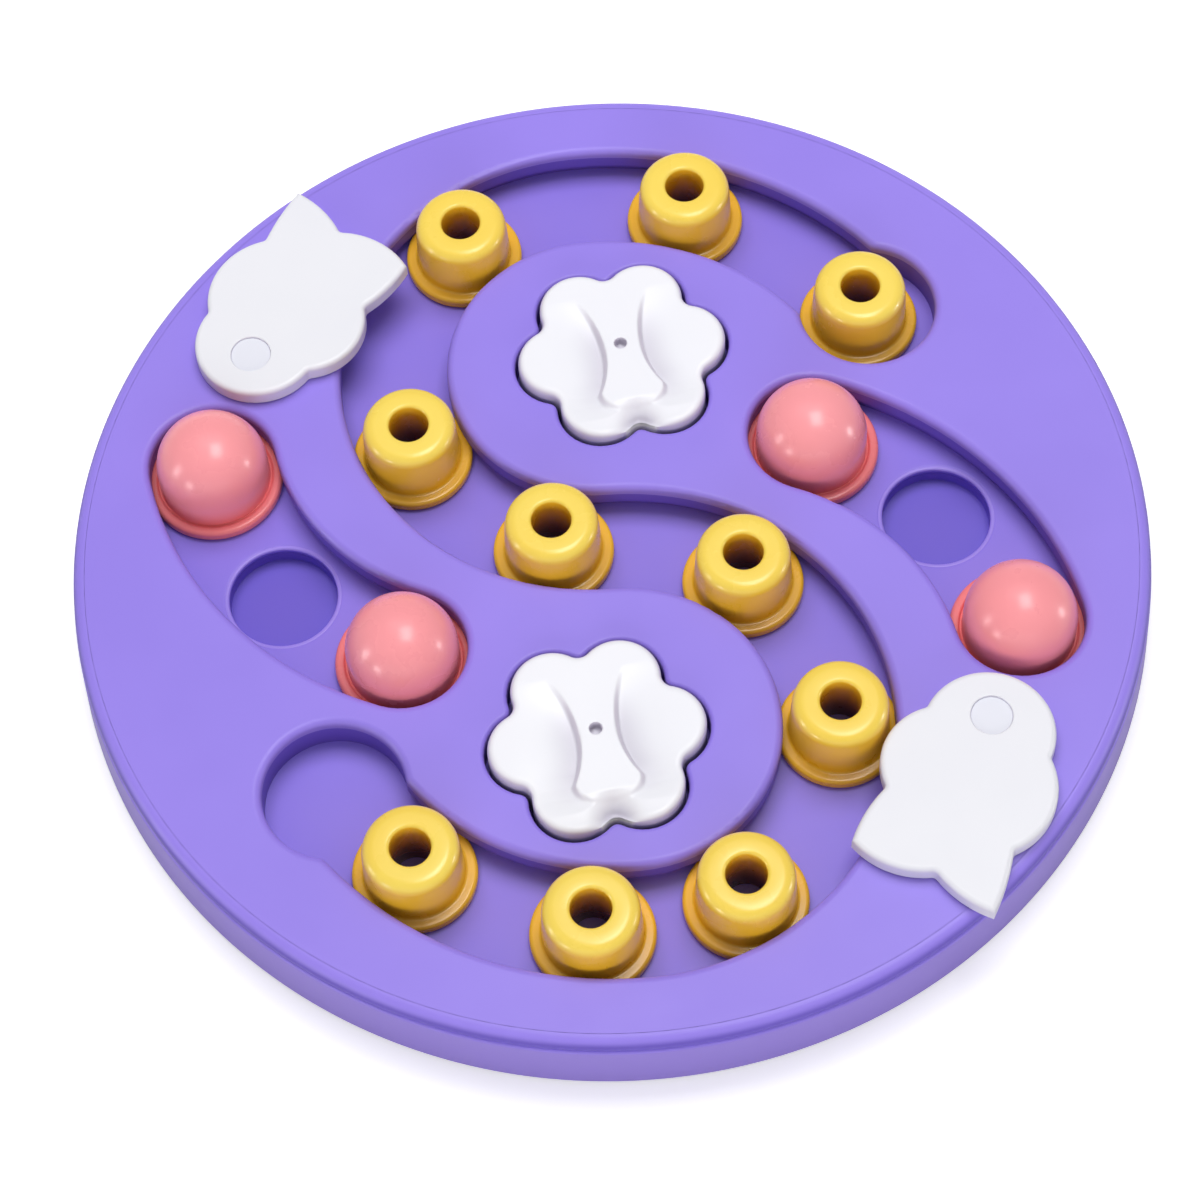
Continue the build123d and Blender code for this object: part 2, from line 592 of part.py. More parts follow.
with BuildPart() as lid:
    with BuildSketch():
        add(flower(0))
    extrude(amount=LID_HEIGHT)
    fillet(at_level(lid.edges(), LID_HEIGHT), LID_EDGE_RADIUS)
    with BuildSketch():
        add(flower(-LID_WALL))
    extrude(amount=LID_HEIGHT - SCOOP_DEPTH - LID_CEILING, mode=Mode.SUBTRACT)
    # Finger scoops on both sides leave the bone standing between them
    top = Plane((0, 0, LID_HEIGHT), x_dir=(*polar(MIDDLE, 1, BONE_BEARING - 90), 0), z_dir=(0, 0, 1))
    for side in (0, 180):
        add(top.location * Rotation(0, 0, side) * scoop.part, mode=Mode.SUBTRACT)
    with Locations((*polar(MIDDLE, BONE_HOLE_SHIFT, BONE_BEARING), LID_HEIGHT)):
        Hole(BONE_HOLE_DIAMETER / 2, BONE_HOLE_DEPTH)
    # Dip where the lower end of the bone meets its notch
    dip = (BONE_DIP_REACH**2 + BONE_DIP_DEPTH**2) / (2 * BONE_DIP_DEPTH)
    notch = polar(MIDDLE, LOBE_TIP - LOBE_RADIUS / 2, BONE_BEARING + 180)
    with Locations((*notch, LID_HEIGHT + dip - BONE_DIP_DEPTH)):
        Sphere(dip, mode=Mode.SUBTRACT)

for name, spot in zip(("upper", "lower"), FLOWERS):
    deliver(lid.part.moved(Location((*spot, FLOOR_LEVEL))), f"flower_lid_{name}")


# Fish covers and their pivots ----------------------------------------------------

HEAD_UNDERSIDE = FISH_TOP - CAP_SINK - CAP_THICKNESS - HEAD_CLEARANCE - SCREW_HEAD_HEIGHT
CAP_UNDERSIDE = FISH_TOP - CAP_SINK - CAP_THICKNESS

with BuildPart() as cover:
    with BuildSketch(Plane.XY.offset(FISH_UNDERSIDE)):
        add(fish())
    extrude(amount=FISH_THICKNESS)
    fillet(at_level(cover.edges(), FISH_TOP), FISH_EDGE_RADIUS)
    with BuildSketch(Plane.XY.offset(FISH_UNDERSIDE)):
        Circle(SHOULDER_DIAMETER / 2 + SHOULDER_CLEARANCE)
    extrude(amount=FISH_THICKNESS, mode=Mode.SUBTRACT)
    with BuildSketch(Plane.XY.offset(HEAD_UNDERSIDE)):
        Circle(SCREW_HEAD_DIAMETER / 2 + HEAD_CLEARANCE)
    extrude(amount=FISH_THICKNESS, mode=Mode.SUBTRACT)
    with BuildSketch(Plane.XY.offset(CAP_UNDERSIDE)):
        Circle(CAP_DIAMETER / 2)
    extrude(amount=FISH_TOP - CAP_UNDERSIDE, mode=Mode.SUBTRACT)
    fillet(at_level(cover.edges(Select.LAST), FISH_TOP), CAP_SEAT_RADIUS)

with BuildPart() as pivot_screw:
    with BuildSketch(Plane.XY.offset(FISH_UNDERSIDE)):
        Circle(THREAD_DIAMETER / 2)
    extrude(amount=-THREAD_LENGTH)
    with BuildSketch(Plane.XY.offset(FISH_UNDERSIDE)):
        Circle(SHOULDER_DIAMETER / 2)
    extrude(amount=HEAD_UNDERSIDE + SHOULDER_PLAY - FISH_UNDERSIDE)
    with BuildSketch(Plane.XY.offset(HEAD_UNDERSIDE + SHOULDER_PLAY)):
        Circle(SCREW_HEAD_DIAMETER / 2)
    extrude(amount=SCREW_HEAD_HEIGHT)

with BuildPart() as pivot_cap:
    with BuildSketch(Plane.XY.offset(CAP_UNDERSIDE)):
        Circle(CAP_DIAMETER / 2)
    extrude(amount=CAP_THICKNESS)
    fillet(at_level(pivot_cap.edges(), CAP_UNDERSIDE + CAP_THICKNESS), CAP_THICKNESS / 3)

for name, spot, turn in zip(("left", "right"), pair(PIVOT), (-FISH_SWING, 180 + FISH_SWING)):
    place = Location((*spot, 0), (0, 0, FISH_BEARING - 90 + turn))
    deliver(cover.part.moved(place), f"fish_cover_{name}")
    deliver(pivot_screw.part.moved(place), f"pivot_screw_{name}")
    deliver(pivot_cap.part.moved(place), f"pivot_cap_{name}")
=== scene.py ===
"""Dresses the round sliding puzzle: smooth moulded pieces, their plastics, and a plain studio."""

import json
import logging
from abc import ABC, abstractmethod
from dataclasses import dataclass, field
from enum import Enum
from functools import cached_property
from math import atan2, cos, pi, radians, sin, sqrt, tan
from typing import Callable, Union

import bmesh
import bpy
import numpy as np
from mathutils import Matrix, Vector

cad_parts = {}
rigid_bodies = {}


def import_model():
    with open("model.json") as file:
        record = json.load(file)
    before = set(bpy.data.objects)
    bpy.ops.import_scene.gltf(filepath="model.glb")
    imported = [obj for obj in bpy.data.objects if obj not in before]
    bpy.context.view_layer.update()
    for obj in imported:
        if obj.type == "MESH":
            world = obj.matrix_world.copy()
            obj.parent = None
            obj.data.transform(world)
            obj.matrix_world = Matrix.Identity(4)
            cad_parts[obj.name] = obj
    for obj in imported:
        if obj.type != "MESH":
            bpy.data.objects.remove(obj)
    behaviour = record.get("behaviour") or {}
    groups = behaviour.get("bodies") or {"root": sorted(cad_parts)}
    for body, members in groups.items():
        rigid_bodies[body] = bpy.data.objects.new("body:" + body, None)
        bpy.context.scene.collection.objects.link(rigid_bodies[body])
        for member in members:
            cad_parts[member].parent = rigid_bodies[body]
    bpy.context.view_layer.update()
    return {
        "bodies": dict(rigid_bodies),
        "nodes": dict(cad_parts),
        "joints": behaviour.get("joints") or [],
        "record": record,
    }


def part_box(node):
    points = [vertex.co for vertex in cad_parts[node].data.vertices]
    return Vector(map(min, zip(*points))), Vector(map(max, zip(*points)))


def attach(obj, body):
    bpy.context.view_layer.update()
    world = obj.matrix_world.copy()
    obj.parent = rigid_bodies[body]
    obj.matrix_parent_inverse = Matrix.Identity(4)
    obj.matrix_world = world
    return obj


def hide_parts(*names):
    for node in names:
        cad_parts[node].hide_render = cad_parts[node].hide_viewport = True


MM = 0.001
MERGE_REACH = 0.001 * MM
ROUNDING_STEPS = 6
ORIGIN = (0.0, 0.0, 0.0)
WHITE_LIGHT = (1.0, 1.0, 1.0, 1.0)
log = logging.getLogger("puzzle")

Point = tuple[float, float]
Span = tuple[float, float]
Place = tuple[float, float, float]
Colour = tuple[float, float, float, float]
Rings = list[np.ndarray]
Levels = list[tuple[np.ndarray, float]]
Value = Union["Wire", float, Colour]
Box = tuple[Vector, Vector]


# ---- shader maths


class Wire:
    """A shader socket that takes part in Python arithmetic by adding Math nodes."""

    def __init__(self, maker: "Maker", socket: bpy.types.NodeSocket) -> None:
        """Keep a socket and the maker of the tree that it belongs to."""
        self.maker = maker
        self.socket = socket

    def __add__(self, other: Value) -> "Wire":
        """Sum of two values."""
        return self.maker.math("ADD", self, other)

    def __sub__(self, other: Value) -> "Wire":
        """Difference of two values."""
        return self.maker.math("SUBTRACT", self, other)

    def __rsub__(self, other: float) -> "Wire":
        """Difference with a plain number on the left."""
        return self.maker.math("SUBTRACT", other, self)

    def __mul__(self, other: Value) -> "Wire":
        """Product of two values."""
        return self.maker.math("MULTIPLY", self, other)

    def __truediv__(self, other: Value) -> "Wire":
        """Quotient of two values."""
        return self.maker.math("DIVIDE", self, other)

    def smooth(self, low: float, high: float) -> "Wire":
        """Smooth step from 0 at the low value to 1 at the high one."""
        settings = {"interpolation_type": "SMOOTHSTEP"}
        return self.maker.node("ShaderNodeMapRange", settings, self, low, high, 0.0, 1.0)


class Maker:
    """Adds nodes to one node tree, which it empties first."""

    def __init__(self, tree: bpy.types.NodeTree) -> None:
        """Start with the empty tree."""
        self.nodes, self.links = tree.nodes, tree.links
        self.nodes.clear()

    def node(
        self, kind: str, settings: dict, *values: Value, out: int | str = 0, **named: Value
    ) -> Wire:
        """Add a node of any type.

        Args:
            kind: the node's type.
            settings: properties that are set before its inputs.
            values: inputs in order; a Wire is linked and anything else is written.
            out: which output the result is.
            named: inputs by name, with spaces as underscores.

        Returns:
            The chosen output.
        """
        made = self.nodes.new(kind)
        for key, value in settings.items():
            setattr(made, key, value)
        pairs = list(enumerate(values))
        pairs += [(key.replace("_", " "), value) for key, value in named.items()]
        for key, value in pairs:
            self.feed(made.inputs[key], value)
        return Wire(self, made.outputs[out] if made.outputs else None)

    def feed(self, socket: bpy.types.NodeSocket, value: Value) -> None:
        """Link a wire to an input, or write a plain value.

        Args:
            socket: the input.
            value: what it gets.
        """
        if isinstance(value, Wire):
            self.links.new(value.socket, socket)
        else:
            socket.default_value = value

    def math(self, operation: str, *values: Value) -> Wire:
        """Result of a Math node on some values."""
        return self.node("ShaderNodeMath", {"operation": operation}, *values)

    def position(self, stretch: Place = (1.0, 1.0, 1.0)) -> Wire:
        """Object coordinates in metres, scaled along each axis by stretch."""
        here = self.node("ShaderNodeTexCoord", {}, out="Object")
        return self.node("ShaderNodeMapping", {}, here, Scale=stretch)

    def part(self, vector: Wire, axis: str) -> Wire:
        """The X, Y or Z of a vector."""
        return self.node("ShaderNodeSeparateXYZ", {}, vector, out=axis)

    def noise(self, where: Wire, scale: float, detail: float) -> Wire:
        """Soft random pattern around one half, whose scale is in repeats for each metre."""
        return self.node(
            "ShaderNodeTexNoise", {}, Vector=where, Scale=scale, Detail=detail, out="Fac"
        )

    def mix(self, share: Wire, first: "str | Wire", second: "str | Wire") -> Wire:
        """Blend of two colours.

        Args:
            share: 0 gives the first colour and 1 the second.
            first: screen colour such as "#EDEDF3", or a colour made before.
            second: likewise.

        Returns:
            The blended colour.
        """
        made = self.nodes.new("ShaderNodeMix")
        made.data_type = "RGBA"
        self.feed(made.inputs["Factor"], share)
        sockets = [s for s in made.inputs if s.type == "RGBA"]
        for socket, colour in zip(sockets, (first, second)):
            self.feed(socket, linear(colour) if isinstance(colour, str) else colour)
        return Wire(self, [s for s in made.outputs if s.type == "RGBA"][0])

    def bump(self, height: Wire, strength: float, distance: float) -> Wire:
        """Normal bent by a height from 0 to 1, whose full distance is in millimetres."""
        return self.node(
            "ShaderNodeBump", {}, Strength=strength, Distance=distance * MM, Height=height
        )


class Material(Maker):
    """A new material and its nodes."""

    def __init__(self, name: str) -> None:
        """Make the material without any node.

        Args:
            name: its name.
        """
        self.made = bpy.data.materials.new(name)
        self.made.use_nodes = True
        super().__init__(self.made.node_tree)

    def close(self, shader: Wire) -> bpy.types.Material:
        """End the tree in a surface shader and return the material."""
        self.node("ShaderNodeOutputMaterial", {}, Surface=shader)
        return self.made

    def surface(self, **inputs: Value) -> bpy.types.Material:
        """Close with a Principled surface, its inputs named with spaces as underscores."""
        return self.close(self.node("ShaderNodeBsdfPrincipled", {}, **inputs))


def linear(code: str) -> Colour:
    """Linear colour of a screen colour such as "#EDEDF3"."""
    parts = [c / 255 for c in bytes.fromhex(code[1:])]
    return (*(c / 12.92 if c <= 0.04045 else ((c + 0.055) / 1.055) ** 2.4 for c in parts), 1.0)


@dataclass(frozen=True)
class Plastic:
    """Injection-moulded plastic with a fine spark-eroded grain. Lengths are in millimetres."""

    name: str
    colour: str
    shade: str
    # Colour of painted shade on upright and sloping faces.
    steep: str
    roughness: float = 0.42
    coat: float = 0.0
    gloss: float = 0.42
    grain: float = 0.12
    # Heights of the normal between which the painted shade on upright faces fades out.
    slope: Span = (0.0, 0.8)
    # Colour of painted shade on low parts, and the heights in millimetres over which it fades out.
    sunk: str | None = None
    sink: Span = (0.0, 0.0)
    # Colour of painted shade down a central hole.
    bore: str | None = None
    cloud_scale: float = 22.0
    wear_scale: float = 160.0
    grain_scale: float = 2600.0
    grain_height: float = 0.02
    coat_roughness: float = 0.18
    # Radius and heights in millimetres of the painted shade down the hole.
    bore_radius: Span = (5.0, 5.6)
    bore_height: Span = (13.0, 27.5)

    def make(self) -> bpy.types.Material:
        """Build the material.

        Returns:
            Plastic whose colour, gloss and grain vary a little over the surface, and whose
            upright faces, low parts and holes get painted shade.
        """
        maker = Material(self.name)
        here = maker.position()
        cloud = maker.noise(here, self.cloud_scale, 3.0).smooth(0.3, 0.7)
        wear = maker.noise(here, self.wear_scale, 4.0)
        grain = maker.noise(here, self.grain_scale, 1.0)
        upright = maker.part(maker.node("ShaderNodeNewGeometry", {}, out="Normal"), "Z")
        height = maker.part(here, "Z")
        colour = maker.mix(cloud, self.colour, self.shade)
        # Painted shade: upright and sloping faces take the shade colour, blended by the normal's
        # tilt.
        colour = maker.mix(upright.smooth(*self.slope), self.steep, colour)
        # Painted shade: darker towards the bottom, fading out between the two heights.
        if self.sunk:
            raised = height.smooth(*(level * MM for level in self.sink))
            colour = maker.mix(raised, self.sunk, colour)
        # Painted shade down the hole: inside the given radius, darker towards the bottom.
        if self.bore:
            radius = maker.node("ShaderNodeAttribute", {"attribute_name": "radius"}, out="Fac")
            inside = 1.0 - radius.smooth(*(edge * MM for edge in self.bore_radius))
            deep = 1.0 - height.smooth(*(level * MM for level in self.bore_height))
            colour = maker.mix(inside * deep, colour, self.bore)
        return maker.surface(
            Base_Color=colour,
            Roughness=(wear - 0.5) * 0.08 + (cloud - 0.5) * 0.04 + self.roughness,
            Normal=maker.bump(grain, self.grain, self.grain_height),
            Coat_Weight=self.coat,
            Coat_Roughness=self.coat_roughness,
            Specular_IOR_Level=self.gloss,
        )


@dataclass(frozen=True)
class ZincSteel:
    """Zinc-plated steel of a small screw, with faint turning marks."""

    name: str = "zinc_steel"
    dull: str = "#B0B2B8"
    bright: str = "#CDCED0"

    def make(self) -> bpy.types.Material:
        """Build the material.

        Returns:
            Metal whose marks run around the screw.
        """
        maker = Material(self.name)
        marks = maker.noise(maker.position(stretch=(1.0, 1.0, 14.0)), 900.0, 3.0)
        return maker.surface(
            Base_Color=maker.mix(marks, self.dull, self.bright),
            Metallic=1.0,
            Roughness=marks * 0.15 + 0.24,
            Normal=maker.bump(marks, 0.15, 0.03),
        )


@dataclass(frozen=True)
class FootRubber:
    """Soft dark rubber with a matte, dusty skin."""

    name: str = "foot_rubber"
    clean: str = "#262629"
    dusty: str = "#4A494C"

    def make(self) -> bpy.types.Material:
        """Build the material.

        Returns:
            Rubber with a little dust.
        """
        maker = Material(self.name)
        dust = maker.noise(maker.position(), 400.0, 5.0)
        share = dust.smooth(0.45, 0.8)
        return maker.surface(
            Base_Color=maker.mix(share, self.clean, self.dusty),
            Roughness=dust * 0.2 + 0.68,
            Normal=maker.bump(dust, 0.3, 0.05),
        )


class Finish(Enum):
    """Every finish on the puzzle."""

    # Deck and skirt: the third colour is painted shade on the skirt and other upright faces.
    LILAC = Plastic("lilac", "#9B85EE", "#9781EA", "#8C77CE")
    # Rim: the dark third colour is a band of painted shade over its rounding and undercut.
    RIM_LILAC = Plastic("rim_lilac", "#9D87F0", "#9983EC", "#644DBE", slope=(0.3, 0.92))
    # Cup lips: lighter than the deck as a painted highlight on their rounding.
    LIP_LILAC = Plastic("lip_lilac", "#A48EF2", "#A08AEE", "#8670DC", 0.36)
    # Pan and slot walls: lilac painted darker as shade in the slots, deepest on the walls and low
    # floors.
    DEEP_LILAC = Plastic(
        "deep_lilac", "#957FEC", "#907AE8", "#5F49B1",
        slope=(-0.1, 0.5), sunk="#725ED3", sink=(5.5, 10.5),
    )
    # Hats: painted shade on their sides and towards the flange, and dark red painted shade down the
    # hole.
    YELLOW = Plastic(
        "yellow", "#FBDD62", "#FAD758", "#F6BE2A", 0.27, coat=0.15, grain=0.05,
        sunk="#F4B21C", sink=(9.0, 26.0), bore="#5C1A0C",
    )
    # Domes: painted shade on their sides and towards the flange.
    CORAL = Plastic(
        "coral", "#FFA1A7", "#FF9CA2", "#FE9296", 0.28, coat=0.15, grain=0.03,
        gloss=0.34, sunk="#FA8082", sink=(12.0, 21.0),
    )
    # Fish covers and pivot caps: the third colour is painted shade on their upright faces.
    WHITE = Plastic("white", "#EDEDF3", "#EAEAF1", "#D8D4E2", 0.36, grain=0.05, slope=(0.2, 0.95))
    CAP_WHITE = Plastic(
        "cap_white", "#E8E9F3", "#E5E6F1", "#D0D6E6", 0.36, grain=0.05, slope=(0.2, 0.95)
    )
    # Flower lids: painted shade on their banks and sides, darker towards the bottom of scoops and
    # sides.
    LID_WHITE = Plastic(
        "lid_white", "#F5F5FB", "#F2F2F9", "#D5CFDD", 0.36, grain=0.05,
        slope=(0.45, 0.995), sunk="#C6C0D0", sink=(19.2, 22.8),
    )
    STEEL = ZincSteel()
    RUBBER = FootRubber()

    @property
    def slot(self) -> str:
        """The record's material slot, which is the last word of the finish's name."""
        return self.name.split("_")[-1].lower()

    @cached_property
    def paint(self) -> bpy.types.Material:
        """The finish's material, made on first use."""
        return self.value.make()


# ---- studio


@dataclass(frozen=True)
class Softbox:
    """One rectangular lamp, which may light matte surfaces, show in gloss, or do both."""

    name: str
    place: Place
    aim: Place
    width: float
    height: float
    power: float
    matte: bool = True
    gloss: bool = True

    def hang(self) -> None:
        """Add the lamp to the scene."""
        lamp = bpy.data.lights.new(self.name, "AREA")
        lamp.shape = "RECTANGLE"
        lamp.size, lamp.size_y = self.width, self.height
        lamp.energy = self.power
        item = bpy.data.objects.new(self.name, lamp)
        item.location = self.place
        look = Vector(self.aim) - Vector(self.place)
        item.rotation_euler = look.to_track_quat("-Z", "Y").to_euler()
        item.visible_diffuse = self.matte
        item.visible_glossy = self.gloss
        bpy.context.scene.collection.objects.link(item)


@dataclass(frozen=True)
class Studio:
    """Pale floor, soft lamps, pale surroundings and the camera."""

    elevation: float = radians(61.879)
    distance: float = 834.395 * MM
    aim: Place = (-3.313 * MM, -6.396 * MM, 1.0 * MM)
    roll: float = radians(-3.634)
    lens: float = 102.0
    floor_size: float = 6.0
    paper: Colour = (0.97, 0.97, 0.965, 1.0)
    paper_lift: float = 0.4
    surroundings: float = 0.34
    lamps: tuple[Softbox, ...] = (
        Softbox("key", (0.0, 0.42, 1.1), (0, 0, 0), 1.0, 0.6, 9.9, gloss=False),
        Softbox("fill", (0.0, -1.15, 0.32), (0, 0, 0.01), 1.5, 0.36, 6.2, gloss=False),
        Softbox("top_shine", (0.2, 0.02, 1.1), (0, 0, 0), 0.55, 0.42, 6.0, matte=False),
        Softbox("left_shine", (-0.95, -0.2, 0.2), (0, 0, 0.02), 0.14, 0.34, 1.6, matte=False),
        Softbox("right_shine", (1.0, -0.05, 0.13), (0, 0, 0.02), 0.16, 0.22, 1.6, matte=False),
        Softbox("low_shine", (-0.8, -0.74, 0.14), (0, 0, 0.02), 0.2, 0.2, 1.6, matte=False),
    )

    def set_up(self) -> None:
        """Build floor, lamps, surroundings and camera, with the plain view transform."""
        bpy.context.scene.view_settings.view_transform = "Standard"
        self._floor()
        self._surroundings()
        for lamp in self.lamps:
            lamp.hang()
        self._camera()

    def _floor(self) -> None:
        """Lay a plain pale floor that takes the puzzle's shadow."""
        bpy.ops.mesh.primitive_plane_add(size=self.floor_size)
        floor = bpy.context.object
        floor.name = "floor"
        maker = Material("pale_floor")
        eye = maker.node("ShaderNodeLightPath", {}, out="Is Camera Ray")
        paper = maker.node("ShaderNodeBsdfDiffuse", {}, Color=self.paper)
        lift = maker.node("ShaderNodeEmission", {}, WHITE_LIGHT, eye * self.paper_lift)
        both = maker.node("ShaderNodeAddShader", {}, paper, lift)
        floor.data.materials.append(maker.close(both))

    def _surroundings(self) -> None:
        """Surround the scene with soft white light, seen as pure white."""
        world = bpy.data.worlds.new("surroundings")
        bpy.context.scene.world = world
        world.use_nodes = True
        maker = Maker(world.node_tree)
        eye = maker.node("ShaderNodeLightPath", {}, out="Is Camera Ray")
        strength = eye * (1.0 - self.surroundings) + self.surroundings
        light = maker.node("ShaderNodeBackground", {}, WHITE_LIGHT, strength)
        maker.node("ShaderNodeOutputWorld", {}, Surface=light)

    def _camera(self) -> None:
        """Place the camera above the near edge, a little turned about its own axis."""
        lens = bpy.data.cameras.new("camera")
        lens.lens = self.lens
        item = bpy.data.objects.new("camera", lens)
        lean = Matrix.Rotation(pi / 2 - self.elevation, 4, "X")
        roll = Matrix.Rotation(self.roll, 4, "Z")
        back = Matrix.Translation((0.0, 0.0, self.distance))
        item.matrix_world = Matrix.Translation(self.aim) @ lean @ roll @ back
        bpy.context.scene.collection.objects.link(item)
        bpy.context.scene.camera = item


# ---- shapes


def arc(centre: Point, radius: float, start: float, end: float, steps: int) -> list[Point]:
    """Points along an arc between two angles in radians."""
    angles = (start + (end - start) * i / steps for i in range(steps + 1))
    return [(centre[0] + radius * cos(a), centre[1] + radius * sin(a)) for a in angles]


def rounded(*points: Place) -> list[Point]:
    """Closed outline with a rounding at each corner.

    Args:
        points: corners as x, y and rounding radius.

    Returns:
        The outline's points, the first not repeated.
    """
    outline: list[Point] = []
    count = len(points)
    for i, (x, y, radius) in enumerate(points):
        if not radius:
            outline.append((x, y))
            continue
        corner = Vector((x, y))
        to_last = (Vector(points[i - 1][:2]) - corner).normalized()
        to_next = (Vector(points[(i + 1) % count][:2]) - corner).normalized()
        half = to_last.angle(to_next) / 2
        centre = corner + (to_last + to_next).normalized() * (radius / sin(half))
        first = corner + to_last * (radius / tan(half)) - centre
        last = corner + to_next * (radius / tan(half)) - centre
        start = atan2(first.y, first.x)
        sweep = (atan2(last.y, last.x) - start + pi) % (2 * pi) - pi
        outline += arc((centre.x, centre.y), radius, start, start + sweep, ROUNDING_STEPS)
    return outline


def tidy_mesh(mesh: bpy.types.Mesh) -> None:
    """Merge doubles, turn all faces outwards and shade them smoothly.

    Args:
        mesh: the mesh to change.
    """
    work = bmesh.new()
    work.from_mesh(mesh)
    bmesh.ops.remove_doubles(work, verts=work.verts, dist=MERGE_REACH)
    bmesh.ops.recalc_face_normals(work, faces=work.faces)
    work.to_mesh(mesh)
    work.free()
    mesh.shade_smooth()


def lofted(name: str, rings: Rings, foot: Vector = Vector()) -> bpy.types.Object:
    """Add a smoothly shaded skin over rings of points, with both ends closed.

    Args:
        name: the object's name.
        rings: rings of equal length, in millimetres.
        foot: where their origin stands, in metres.

    Returns:
        The object, with doubles merged and faces pointing outwards.
    """
    around, last = len(rings[0]), len(rings) - 1
    faces: list[tuple[int, ...]] = []
    for low in range(0, last * around, around):
        high = low + around
        for i in range(around):
            j = (i + 1) % around
            faces.append((low + i, low + j, high + j, high + i))
    faces.append(tuple(range(around)))
    faces.append(tuple(reversed(range(last * around, (last + 1) * around))))
    mesh = bpy.data.meshes.new(name)
    mesh.from_pydata([Vector(p) * MM + foot for ring in rings for p in ring], [], faces)
    tidy_mesh(mesh)
    item = bpy.data.objects.new(name, mesh)
    bpy.context.scene.collection.objects.link(item)
    return item


def foot_of(box: Box) -> Vector:
    """Middle of a box's underside."""
    low, high = box
    return Vector(((low.x + high.x) / 2, (low.y + high.y) / 2, low.z))


def size_of(box: Box) -> Vector:
    """Size of a box in millimetres."""
    return (box[1] - box[0]) / MM


def islands(node: bpy.types.Object) -> list[Box]:
    """Boxes of the separate solids of a node.

    Args:
        node: a CAD node.

    Returns:
        Lowest and highest corner of each solid, ordered by angle about the middle.
    """
    work = bmesh.new()
    work.from_mesh(node.data)
    bmesh.ops.remove_doubles(work, verts=work.verts, dist=MERGE_REACH)
    left, boxes = set(work.verts), []
    while left:
        group = [left.pop()]
        for vert in group:
            fresh = left.intersection(edge.other_vert(vert) for edge in vert.link_edges)
            left -= fresh
            group += fresh
        spots = np.array([v.co for v in group])
        boxes.append((Vector(spots.min(0)), Vector(spots.max(0))))
    work.free()
    return sorted(boxes, key=lambda b: atan2(b[0].y + b[1].y, b[0].x + b[1].x))


def turned_rings(outline: list[Point], around: int) -> Rings:
    """Rings of points of a turned piece.

    Args:
        outline: radius and height of each ring in millimetres.
        around: points in each ring.

    Returns:
        The rings in the outline's order.
    """
    angles = np.linspace(0, 2 * pi, around, endpoint=False)
    circle = np.column_stack([np.cos(angles), np.sin(angles), np.zeros(around)])
    return [circle * radius + np.array([0.0, 0.0, level]) for radius, level in outline]


@dataclass(frozen=True)
class SmoothCopier:
    """Makes smoothly shaded copies of CAD nodes. Lengths are in millimetres."""

    crease: float = radians(32)
    flat: float = radians(0.05)
    merge: float = 0.002
    cut_slack: float = 0.01
    cut_tuck: float = 0.4
    area_weight: int = 100

    def copy(self, node: bpy.types.Object, name: str, cut: float | None) -> bpy.types.Object:
        """Copy one node, flat where the node is flat and round where it is rounded.

        Args:
            node: the CAD node.
            name: the copy's name.
            cut: where given, faces wholly beyond this distance from the axis go.

        Returns:
            The copy.
        """
        mesh = node.data.copy()
        mesh.name = name
        work = bmesh.new()
        work.from_mesh(mesh)
        bmesh.ops.remove_doubles(work, verts=work.verts, dist=self.merge * MM)
        bmesh.ops.dissolve_limit(
            work, angle_limit=self.flat, verts=work.verts, edges=work.edges, delimit={"NORMAL"}
        )
        if cut is not None:
            self._cut(work, (cut - self.cut_slack) * MM)
        work.to_mesh(mesh)
        work.free()
        if "custom_normal" in mesh.attributes:
            mesh.attributes.remove(mesh.attributes["custom_normal"])
        mesh.shade_smooth()
        mesh.set_sharp_from_angle(angle=self.crease)
        item = bpy.data.objects.new(name, mesh)
        bpy.context.scene.collection.objects.link(item)
        weigh = item.modifiers.new("flat_faces_first", "WEIGHTED_NORMAL")
        weigh.mode = "FACE_AREA"
        weigh.weight = self.area_weight
        weigh.keep_sharp = True
        return item

    def _cut(self, work: bmesh.types.BMesh, reach: float) -> None:
        """Remove what lies beyond a distance from the axis, and tuck the rest inside it.

        Args:
            work: the mesh to change.
            reach: the distance in metres.
        """
        beyond = [f for f in work.faces if all(v.co.xy.length > reach for v in f.verts)]
        bmesh.ops.delete(work, geom=beyond, context="FACES")
        for vert in work.verts:
            vert.co.xy *= min(1.0, (reach - self.cut_tuck * MM) / max(vert.co.xy.length, MM))


# ---- geometry nodes


